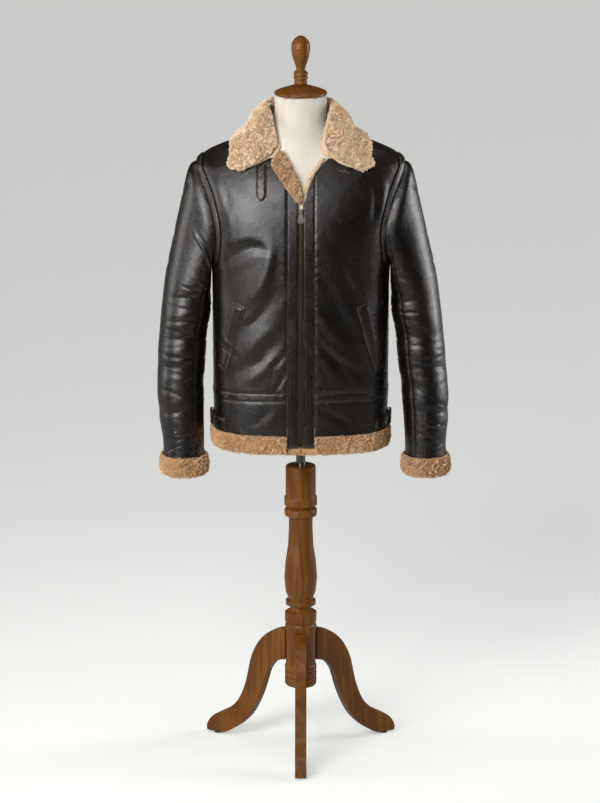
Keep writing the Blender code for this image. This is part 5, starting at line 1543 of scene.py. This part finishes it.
def make_hem_fleece():
    out = np.array([p.out for p in HEM_ROLL])
    up = np.array([p.up for p in HEM_ROLL])
    behind = HEM_LINE + up > PLACKET_BOTTOM - 0.0025
    low_out = np.minimum(out, np.where(behind, -0.0033, 0.0030))
    hidden = np.where(behind & (out > -0.004), 0.0, np.array(ROLL_WEIGHT))
    lowered = np.minimum(up, -0.0005)
    under_placket = np.linspace(0.0006, PLACKET_OUTER + 0.00005, 9)
    beyond = np.linspace(turn_at(PLACKET_OUTER + 0.0040, HEM_LINE), 90 - SIDE_SEAM, 60)
    for side in (-1, 1):
        loops = []
        for across in under_placket:
            loops.append(front_point(np.full(len(up), across * side), HEM_LINE + up, low_out))
        across = np.full(len(up), (PLACKET_OUTER + SEAM_GAP) * side)
        loops.append(front_point(across, HEM_LINE + lowered, out))
        for turn in beyond:
            loops.append(body_point(np.full(len(up), turn * side), HEM_LINE + up, out))
        weights = [hidden] * len(under_placket) + [ROLL_WEIGHT] * (1 + len(beyond))
        grid = fine_loops(np.array(loops), ROLL_PER_SIDE)
        weight = np.array([section_weight(row, ROLL_PER_SIDE) for row in weights])
        node = "hem_fur_" + side_name(side)
        edge_fleece(node, grid, weight, 61 + side, 330000.0)
    loops = [
        body_point(np.full(len(up), turn), HEM_LINE + up, out, 0.0)
        for turn in np.linspace(90 + SIDE_SEAM, 270 - SIDE_SEAM, 130)
    ]
    grid = fine_loops(np.array(loops), ROLL_PER_SIDE)
    weight = section_weight(ROLL_WEIGHT, ROLL_PER_SIDE)
    edge_fleece("hem_fur_back", grid, weight, 67, 210000.0)


def make_cuffs():
    arounds = np.linspace(0, 360, 91)[:-1]
    for side in (-1, 1):
        rim = bare_sleeve(arounds, np.array([SLEEVE_END]), side)[0]
        flat = sleeve_normal(arounds, np.array([SLEEVE_END]), side)[0]
        flat[:, 2] = 0.0
        flat = unit(flat)
        loops = []
        for p in CUFF_ROLL:
            loops.append(rim + flat * p.out + np.array([0.0, 0.0, p.up - SEAM_GAP]))
        grid = mirrored(fine_loops(np.stack(loops, axis=1), ROLL_PER_SIDE), side)
        weight = section_weight(ROLL_WEIGHT, ROLL_PER_SIDE)
        node = "cuff_fur_" + side_name(side)
        edge_fleece(node, grid, weight, 71 + side, 300000.0, True)


# ---------------------------------------------------------------- the stand and the form


def eased(outline, radius):
    """An outline with its corners rounded."""
    points = [np.array(p) for p in outline]
    result = [points[0]]
    for before, corner, after in zip(points, points[1:], points[2:]):
        ends = []
        for away in (before, after):
            length = np.linalg.norm(away - corner)
            ends.append(corner + (away - corner) / length * min(radius, length * 0.45))
        start, end = ends
        for t in (0.0, 0.33, 0.67, 1.0):
            result.append(start * (1 - t) ** 2 + corner * 2 * t * (1 - t) + end * t * t)
    result.append(points[-1])
    return result


LATHE_STEPS = 72
CORNER_RADIUS = 0.0012


def lathe(name, outline, node, body):
    """A turned piece: a profile carried round the post's axis by a Screw modifier."""
    turned = [tuple(p) for p in eased(outline, CORNER_RADIUS)]
    line = [(0.0, outline[0][1])] + turned + [(0.0, outline[-1][1])]
    mesh = bpy.data.meshes.new(name)
    mesh.from_pydata([(r, 0.0, h) for r, h in line], [(k, k + 1) for k in range(len(line) - 1)], [])
    mesh.materials.append(WOOD)
    piece = set_down(name, mesh)
    screw = piece.modifiers.new("turn", "SCREW")
    screw.angle = math.tau
    screw.steps = LATHE_STEPS
    screw.render_steps = LATHE_STEPS
    screw.use_merge_vertices = True
    screw.merge_threshold = 0.00005
    screw.use_smooth_shade = True
    dress(piece, body, "wood", node)


def smooth_outline(outline, corners, per_side):
    """A closed outline with smooth stretches between its corners."""
    points = np.array(outline)
    result = []
    for first, last in zip(corners, corners[1:] + (len(points),)):
        stretch = points[first : last + 1] if last < len(points) else np.vstack([points[first:], points[:1]])
        if len(stretch) < 3:
            result.extend(stretch[:-1])
            continue
        count = (len(stretch) - 1) * per_side
        result.extend(spline(stretch, np.arange(count) / per_side))
    return np.array(result)


def make_legs():
    outline = smooth_outline(LEG_OUTLINE, LEG_CORNERS, 5)
    for number, direction in enumerate(LEG_DIRECTIONS, start=1):
        work = bmesh.new()
        base = [work.verts.new((r, -LEG_THICKNESS / 2, h)) for r, h in outline]
        face = work.faces.new(base)
        pushed = bmesh.ops.extrude_face_region(work, geom=[face])
        moved = [v for v in pushed["geom"] if isinstance(v, bmesh.types.BMVert)]
        bmesh.ops.translate(work, verts=moved, vec=(0.0, LEG_THICKNESS, 0.0))
        bmesh.ops.recalc_face_normals(work, faces=work.faces)
        bmesh.ops.rotate(work, verts=work.verts, matrix=Matrix.Rotation(math.radians(direction), 3, "Z"))
        mesh = bpy.data.meshes.new("leg")
        work.to_mesh(mesh)
        work.free()
        mesh.shade_smooth()
        mesh.set_sharp_from_angle(angle=math.radians(35))
        mesh.materials.append(LEG_WOOD)
        leg = set_down("turned_out_leg_" + str(number), mesh)
        ease = leg.modifiers.new("eased edges", "BEVEL")
        ease.width = 0.0034
        ease.segments = 3
        ease.limit_method = "ANGLE"
        ease.angle_limit = math.radians(60)
        dress(leg, "stand", "wood", "leg_" + str(number))


def make_stand():
    lathe("turned_post", POST_OUTLINE, "post", "stand")
    lathe("turned_neck_cap", CAP_OUTLINE, "neck_cap", "coat")
    lathe("turned_finial", FINIAL_OUTLINE, "finial", "coat")
    make_legs()


def repaint(material, *nodes):
    """Give the metal and rubber pieces that keep their solids a finish."""
    for node in nodes:
        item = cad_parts[node]
        item.data.materials.clear()
        item.data.materials.append(material)


# ---------------------------------------------------------------- sewing


def run_of(line):
    """How far along a line each of its points lies."""
    return np.concatenate([[0.0], np.cumsum(np.linalg.norm(np.diff(line, axis=0), axis=1))])


def read_line(line, run, at):
    """The points that lie at given distances along a line."""
    return np.stack([np.interp(at, run, line[:, k]) for k in range(3)], axis=-1)


def inset_line(grid, inset, trim):
    """A line through a grid's rows, a given way in from its first column, and short at its ends."""
    runs = np.cumsum(np.linalg.norm(np.diff(grid, axis=1), axis=-1), axis=1)
    runs = np.hstack([np.zeros((len(grid), 1)), runs])
    line = np.array([[np.interp(inset, run, row[:, k]) for k in range(3)] for run, row in zip(runs, grid)])
    along = run_of(line)
    return read_line(line, along, np.linspace(trim, along[-1] - trim, len(line)))


def edge_lines(grid, inset, sides):
    """Lines of sewing inside a grid's first row, last row, first column and last column."""
    turned = grid.transpose(1, 0, 2)
    views = (turned, turned[:, ::-1], grid, grid[:, ::-1])
    return [inset_line(view, inset, inset) for view, used in zip(views, sides) if used]


STITCH_PITCH = 0.0040
STITCH_LENGTH = 0.0029
STITCH_HALF = 0.00034
STITCH_POINTS = 10


def sew(name, lines):
    """Lines of stitches: small threads with pointed ends, one after another, joined in one mesh."""
    starts, stops = [], []
    for line in lines:
        along = run_of(line)
        at = np.arange(0.0, along[-1] - STITCH_LENGTH, STITCH_PITCH)
        starts.append(read_line(line, along, at))
        stops.append(read_line(line, along, at + STITCH_LENGTH))
    start, stop = np.concatenate(starts), np.concatenate(stops)
    axis = unit(stop - start)
    first = unit(np.cross(axis, np.array([0.31, 0.05, 0.95])))
    second = np.cross(axis, first)
    points = [start]
    for share in (0.2, 0.8):
        middle = between(start, stop, share)
        for k in range(4):
            spin = math.tau * k / 4
            points.append(middle + (first * math.cos(spin) + second * math.sin(spin)) * STITCH_HALF)
    points = np.stack(points + [stop], axis=1)
    base = (np.arange(len(start)) * STITCH_POINTS)[:, None]
    ring = [(k, (k + 1) % 4) for k in range(4)]
    ends = [base + np.array([[0, 1 + b, 1 + a]]) for a, b in ring]
    ends += [base + np.array([[9, 5 + a, 5 + b]]) for a, b in ring]
    sides = [base + np.array([[1 + a, 1 + b, 5 + b, 5 + a]]) for a, b in ring]
    piece = mesh_of(name, points, [np.concatenate(sides), np.concatenate(ends)], (THREAD,), smooth_angle=80)
    dress(piece, "coat", "leather")


# ---------------------------------------------------------------- leather trims


# A trim's rounded edge, the half width of its sewn groove, the puckers beside it, and how proud the
# thread lies.
TRIM_ROUND = 0.0022
GROOVE_HALF = 0.0008
PUCKER_REACH, PUCKER_HEIGHT = 0.005, 0.00022
THREAD_LIFT = 0.00012


def trim_wall(node, points_at, thick, inset, sides, seed, roll=0.0007, groove=0.00045, puff=0.0004):
    """A strip of leather with rounded edges, and grooves where it is sewn down.

    points_at gives its points at a height over its underside."""
    outer, inner = points_at(thick), points_at(0.0)
    normals = unit(outer - inner)
    away = edge_distance(outer)
    close = np.clip(1 - away / TRIM_ROUND, 0.0, 1.0)
    sewn = edge_distance(outer, sides)
    cut = np.exp(-(((sewn - inset) / GROOVE_HALF) ** 2))
    swell = np.clip(sewn / (inset * 2), 0.0, 1.0) * (1 - cut)
    near_sewing = np.exp(-(((sewn - inset) / PUCKER_REACH) ** 2))
    pucker = undulate(outer, 0.009, seed) * near_sewing * PUCKER_HEIGHT
    outer = outer + normals * (puff * swell - roll * close**2 - groove * cut + pucker)[..., None]
    piece = leather_wall("leather_" + node, outer, inner, (TRIM_LEATHER,))
    dress(piece, "coat", "leather", node)
    return piece, edge_lines(outer + normals * THREAD_LIFT, inset, sides)


def trim_pair(node, points_for, thick, inset, sides, seed, size, **relief):
    """The same trim on the right and on the left, and its sewing; points_for takes the side."""
    lines = []
    for side in (-1, 1):
        piece, sewn = trim_wall(
            node + side_name(side), points_for(side), thick, inset, sides, seed + side, **relief
        )
        declare_cloth(piece, *size)
        lines += sewn
    sew("sewing_" + node[:-1] + "s", lines)


def neckline(across):
    share = (across - PLACKET_INNER) / (PLACKET_OUTER - PLACKET_INNER)
    return between(ZIP_TOP, FRONT_NECK, share)


def front_strip(across, bottom, top, rows, side=1):
    """Points of an upright strip on the front: a function of the height over the leather."""
    share = np.linspace(0.0, 1.0, rows + 1)[:, None]
    height = between(bottom, top + 0.0 * across, share)
    return lambda out: front_point(np.broadcast_to(across * side, height.shape), height, out)


def make_plackets():
    across = np.linspace(PLACKET_INNER, PLACKET_OUTER, 30)

    def points_for(side):
        strip = front_strip(across, PLACKET_BOTTOM, neckline(across), 136, side)
        return lambda out: strip(out + 0.0010 - LEATHER)

    trim_pair(
        "placket_", points_for, LEATHER, 0.0036, (True, False, True, True), 81, (0.024, 0.555),
        roll=0.0014, groove=0.0010, puff=0.0014,
    )


def make_armhole_tapes():
    arounds = np.linspace(-TAPE_END, TAPE_END, 141)[None, :]
    steps = np.linspace(TAPE_NEAR, TAPE_NEAR + TAPE_WIDTH, 13)[:, None]
    turn, height = armhole_edge(arounds, steps)

    def points_for(side):
        return lambda out: body_point(turn * side, height, TAPE_LIFT + out)

    trim_pair("armhole_tape_", points_for, TRIM, 0.0030, (True, True, False, False), 91, (TAPE_WIDTH, 0.600))


def make_pocket_welts():
    across_share = np.linspace(0.0, 1.0, 26)[None, :]
    length_share = np.linspace(0.0, 1.0, 58)[:, None]
    grid = []
    for name in WeltCorner._fields:
        low = between(getattr(WELT_BOTTOM[0], name), getattr(WELT_BOTTOM[1], name), across_share)
        high = between(getattr(WELT_TOP[0], name), getattr(WELT_TOP[1], name), across_share)
        grid.append(between(low, high, length_share))
    across, height = grid

    def points_for(side):
        return lambda out: body_point(turn_at(across, height) * side, height, WELT_LIFT + out)

    trim_pair(
        "pocket_welt_", points_for, TRIM, 0.0050, ALL_EDGES, 95, (0.030, 0.150),
        roll=0.0013, groove=0.0011, puff=0.0015,
    )


StrapRow = namedtuple("StrapRow", "height half lift")
STRAP = rows_of(
    StrapRow,
    (STRAP_TIP, 0.0015, 0.0016),
    (STRAP_TIP + 0.0105, STRAP_HALF - 0.0002, 0.0013),
    (1.2170, STRAP_HALF, 0.0010),
    (STRAP_TOP, STRAP_HALF, 0.0),
)
EYELETS = (("upper", 1.2520, 0.0004), ("lower", 1.2340, 0.0008))
EYELET_RADIUS = 0.0021
EYELET_SECTION = (
    (0.0021, -0.0014), (0.0021, 0.0006), (0.0025, 0.0011), (0.0030, 0.0011), (0.0036, 0.0006), (0.0038, 0.0),
    (0.0030, -0.0004), (0.0024, -0.0014),
)


def make_strap():
    height = np.linspace(STRAP_TIP, STRAP_TOP, 71)
    half = np.interp(height, [row.height for row in STRAP], [row.half for row in STRAP])
    lift = np.interp(height, [row.height for row in STRAP], [row.lift for row in STRAP])
    across = STRAP_ACROSS + half[:, None] * np.linspace(-1, 1, 31)[None, :]
    level = np.broadcast_to(height[:, None], across.shape)
    hole = 0.0
    for _, at, _ in EYELETS:
        away = (across - STRAP_ACROSS) ** 2 + (level - at) ** 2
        hole = hole + np.exp(-((away / EYELET_RADIUS**2) ** 2))

    def points_at(out):
        return front_point(across, level, STRAP_LOW + out * (1 - 0.85 * hole) + lift[:, None])

    piece, sewn = trim_wall(
        "collar_strap", points_at, STRAP_THICK, 0.0028, (False, False, True, True), 99,
        roll=0.0014, groove=0.0006, puff=0.0006,
    )
    declare_cloth(piece, 0.022, 0.072)
    sew("sewing_collar_strap", sewn)
    for name, height, lift in EYELETS:
        out = STRAP_LOW + STRAP_THICK + lift + 0.0004
        low = front_point(np.array(STRAP_ACROSS), np.array(height), out)
        high = front_point(np.array(STRAP_ACROSS), np.array(height), 0.02)
        facing = unit(high - low)
        first = unit(np.cross(facing, np.array([0.0, 0.0, 1.0])))
        second = np.cross(facing, first)
        spins = np.linspace(0, math.tau, 41)[:-1, None, None]
        radius = np.array([r for r, h in EYELET_SECTION])[None, :, None]
        rise = np.array([h for r, h in EYELET_SECTION])[None, :, None]
        ring = low + (first * np.cos(spins) + second * np.sin(spins)) * radius + facing * rise
        piece = tube("rolled_eyelet_" + name, ring, True, (POLE_STEEL,))
        dress(piece, "coat", "steel", "strap_eyelet_" + name)


def wire(name, points, radius, *nodes):
    """A round wire through a few points."""
    curve = bpy.data.curves.new(name, "CURVE")
    curve.dimensions = "3D"
    curve.bevel_depth = radius
    curve.bevel_resolution = 4
    curve.use_fill_caps = True
    line = curve.splines.new("POLY")
    path = spline(np.array(points), np.linspace(0, len(points) - 1, len(points) * 5))
    line.points.add(len(path) - 1)
    for point, place in zip(line.points, path):
        point.co = (*place, 1.0)
    curve.materials.append(STEEL)
    dress(set_down(name, curve), "coat", "steel", *nodes)


def make_collar_hook():
    """A thin metal bar under the collar's edge, with its shank going up behind the fleece."""
    bar = ((0.0790, 1.2585), (0.0845, 1.2578), (0.0900, 1.2567), (0.0955, 1.2555), (0.1010, 1.2543))
    shank = ((0.0900, 1.2567), (0.0902, 1.2600), (0.0905, 1.2625))
    for name, path, out, radius, nodes in (
        ("collar_hook_bar", bar, 0.0016, 0.0009, ("collar_hook",)),
        ("collar_hook_shank", shank, 0.0018, 0.0007, ()),
    ):
        points = [front_point(np.array(across), np.array(height), out) for across, height in path]
        wire(name, points, radius, *nodes)


TabRow = namedtuple("TabRow", "name first last low high base crown columns long")
TABS = rows_of(
    TabRow,
    ("side_tab_", 61.12, 123.78, 0.7125, 0.7355, LIFT, 0.0022, 54, 0.205),
    ("side_keeper_", 81.79, 93.39, 0.7108, 0.7385, LIFT + 0.0030, 0.0048, 14, 0.040),
)


def make_side_tabs():
    for row in TABS:
        turn = np.linspace(row.first, row.last, row.columns)[None, :]
        height = np.linspace(row.low, row.high, 14)[:, None]

        def points_for(side):
            return lambda out: body_point(turn * side, height, row.base + out)

        trim_pair(row.name, points_for, row.crown, 0.0028, ALL_EDGES, 103, (0.024, row.long))


# ---------------------------------------------------------------- the zip

ZIP_END = SLIDER_HEIGHT - 0.0070
ZIP_BOTTOM = PLACKET_BOTTOM + 0.003
TOOTH_PITCH = 0.0022
TOOTH_SECTIONS = ((0.0029, 0.00045), (0.0014, 0.00042), (0.0004, 0.00072), (-0.0006, 0.00045))
TOOTH_BACK, TOOTH_FACE = 0.0001, 0.0017
TOOTH_POINTS = 16


def make_zip_tape():
    across = np.linspace(-ZIP_HALF, ZIP_HALF, 25)
    strip = front_strip(across, ZIP_BOTTOM, ZIP_END, 130)
    outer, inner = strip(-0.0004), strip(-0.0016)
    ribs = 0.00018 * np.cos(across / 0.00105 * math.pi) ** 2 * (np.abs(across) > 0.0026)
    outer = outer + unit(outer - inner) * ribs[None, :, None]
    piece = leather_wall("woven_zip_tape", outer, inner, (TAPE,))
    dress(piece, "coat", "zip_tape_cloth", "zip_tape")
    declare_cloth(piece, ZIP_HALF * 2 * 1.1, 0.490)


def make_teeth():
    """Two rows of cast teeth that lock between each other down the middle."""
    count = int((ZIP_END - ZIP_BOTTOM) / TOOTH_PITCH)
    points = []
    for side in (-1, 1):
        middle = ZIP_BOTTOM + TOOTH_PITCH * (np.arange(count) + 0.5 + 0.25 * side)
        for across, half in TOOTH_SECTIONS:
            for up, out in ((-1, TOOTH_BACK), (1, TOOTH_BACK), (1, TOOTH_FACE), (-1, TOOTH_FACE)):
                squeeze = 0.8 if out == TOOTH_FACE else 1.0
                points.append(front_point(np.full(count, side * across), middle + up * half * squeeze, out))
    points = np.stack(points, axis=1).reshape(-1, 3)
    base = (np.arange(count * 2) * TOOTH_POINTS)[:, None]
    faces = [base + np.array([[0, 1, 2, 3]]), base + np.array([[15, 14, 13, 12]])]
    for k in range(3):
        for a in range(4):
            b = (a + 1) % 4
            faces.append(base + np.array([[4 * k + b, 4 * k + a, 4 * k + 4 + a, 4 * k + 4 + b]]))
    flip = np.concatenate(faces)
    mirrored_tooth = (flip[:, 0] // TOOTH_POINTS) % 2 == 1
    flip[mirrored_tooth] = flip[mirrored_tooth][:, ::-1]
    own = (flip[:, :1] // TOOTH_POINTS) * TOOTH_POINTS + np.arange(TOOTH_POINTS)
    centre = points[own].mean(axis=1)
    q = points[flip]
    facing = (np.cross(q[:, 1] - q[:, 0], q[:, 3] - q[:, 0]) * (q.mean(axis=1) - centre)).sum()
    piece = mesh_of("zip_teeth", points, [flip if facing > 0 else flip[:, ::-1]], (BRONZE,))
    dress(piece, "coat", "dark_bronze", "zip_chain")


# ---------------------------------------------------------------- the form


def make_form():
    """The linen-covered form: its solid made round with a subdivision surface."""
    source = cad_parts["form_torso"]
    mesh = source.data.copy()
    work = bmesh.new()
    work.from_mesh(mesh)
    bmesh.ops.remove_doubles(work, verts=work.verts, dist=0.00002)
    bmesh.ops.join_triangles(
        work, faces=work.faces, angle_face_threshold=math.radians(60), angle_shape_threshold=math.radians(60)
    )
    work.to_mesh(mesh)
    work.free()
    mesh.materials.clear()
    mesh.materials.append(LINEN)
    mesh.shade_smooth()
    form = set_down("linen_covered_form", mesh)
    form.matrix_world = source.matrix_world
    rounder = form.modifiers.new("rounded", "SUBSURF")
    rounder.levels = 2
    rounder.render_levels = 2
    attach(form, "coat")
    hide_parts("form_torso")


# ---------------------------------------------------------------- stage, lights and camera


PALE_AIR = (0.74, 0.75, 0.73, 1.0)
FLOOR_GLOW = 0.50
SKY_GLOW, SKY_LIGHT = 0.49, 0.06


def seen_glow(tree, strength):
    """A strength that only the camera sees."""
    seen = tree.nodes.new("ShaderNodeLightPath").outputs["Is Camera Ray"]
    return times(tree, seen, strength)


def make_stage():
    bpy.ops.mesh.primitive_plane_add(size=60.0, location=(0.0, 0.0, CAD_LOW[2]))
    floor = bpy.context.object
    floor.name = "studio_floor"
    material, tree, shader = new_material("pale_floor", 0.80, Specular_IOR_Level=0.2)
    shader.inputs["Base Color"].default_value = PALE_AIR
    shader.inputs["Emission Color"].default_value = PALE_AIR
    tree.links.new(seen_glow(tree, FLOOR_GLOW), shader.inputs["Emission Strength"])
    floor.data.materials.append(material)
    world = bpy.data.worlds.new("studio_air")
    world.use_nodes = True
    tree = world.node_tree
    sky = tree.nodes["Background"]
    sky.inputs["Color"].default_value = PALE_AIR
    tree.links.new(plus(tree, seen_glow(tree, SKY_GLOW), SKY_LIGHT), sky.inputs["Strength"])
    bpy.context.scene.world = world


SoftBox = namedtuple("SoftBox", "name place aim width height power spread")
SOFT_BOXES = rows_of(
    SoftBox,
    ("key_softbox", (-1.9, -2.85, 1.70), (0.0, 0.0, 1.08), 1.6, 1.7, 25.0, 90),
    ("high_softbox", (-1.0, -3.0, 3.1), (0.0, 0.0, 1.0), 1.2, 1.0, 10.0, 75),
    ("right_softbox", (2.5, 0.60, 1.30), (0.2, 0.0, 1.12), 0.95, 1.6, 11.0, 90),
    ("left_softbox", (-2.6, 0.10, 1.25), (-0.2, 0.0, 1.1), 0.9, 1.5, 5.0, 90),
    ("floor_wash", (0.0, 18.6, 3.4), (0.0, 18.6, 0.0), 40.0, 40.0, 1270.0, 50),
)


def make_lights():
    for box in SOFT_BOXES:
        lamp = bpy.data.lights.new(box.name, "AREA")
        lamp.shape = "RECTANGLE"
        lamp.size = box.width
        lamp.size_y = box.height
        lamp.energy = box.power
        lamp.spread = math.radians(box.spread)
        light = set_down(box.name, lamp)
        light.location = AXIS + Vector(box.place)
        light.rotation_euler = (Vector(box.aim) - Vector(box.place)).to_track_quat("-Z", "Y").to_euler()
        light.visible_camera = False


CAMERA_PLACE = Vector((-0.0015, -8.56, 2.806))
CAMERA_AIM = Vector((-0.0015, 0.0, 0.752))
CAMERA_LENS = 188.0
CAMERA_SENSOR = 36.0


def make_camera():
    data = bpy.data.cameras.new("front_camera")
    data.lens = CAMERA_LENS
    data.sensor_fit = "VERTICAL"
    data.sensor_height = CAMERA_SENSOR
    data.sensor_width = CAMERA_SENSOR
    camera = set_down("front_camera", data)
    camera.location = AXIS + CAMERA_PLACE
    camera.rotation_euler = (CAMERA_AIM - CAMERA_PLACE).to_track_quat("-Z", "Y").to_euler()
    bpy.context.scene.camera = camera


bpy.context.scene.view_settings.view_transform = "Standard"
make_fronts_and_back()
make_bands()
make_sleeves()
make_plackets()
make_zip_tape()
make_teeth()
make_armhole_tapes()
make_pocket_welts()
make_strap()
make_collar_hook()
make_side_tabs()
make_collar()
make_facings()
make_hem_fleece()
make_cuffs()
make_form()
make_stand()
repaint(POLE_STEEL, "pole")
repaint(RUBBER, "foot_glide_1", "foot_glide_2", "foot_glide_3")
repaint(ZIP_STEEL, "zip_slider", "zip_pull_tab")
make_stage()
make_lights()
make_camera()
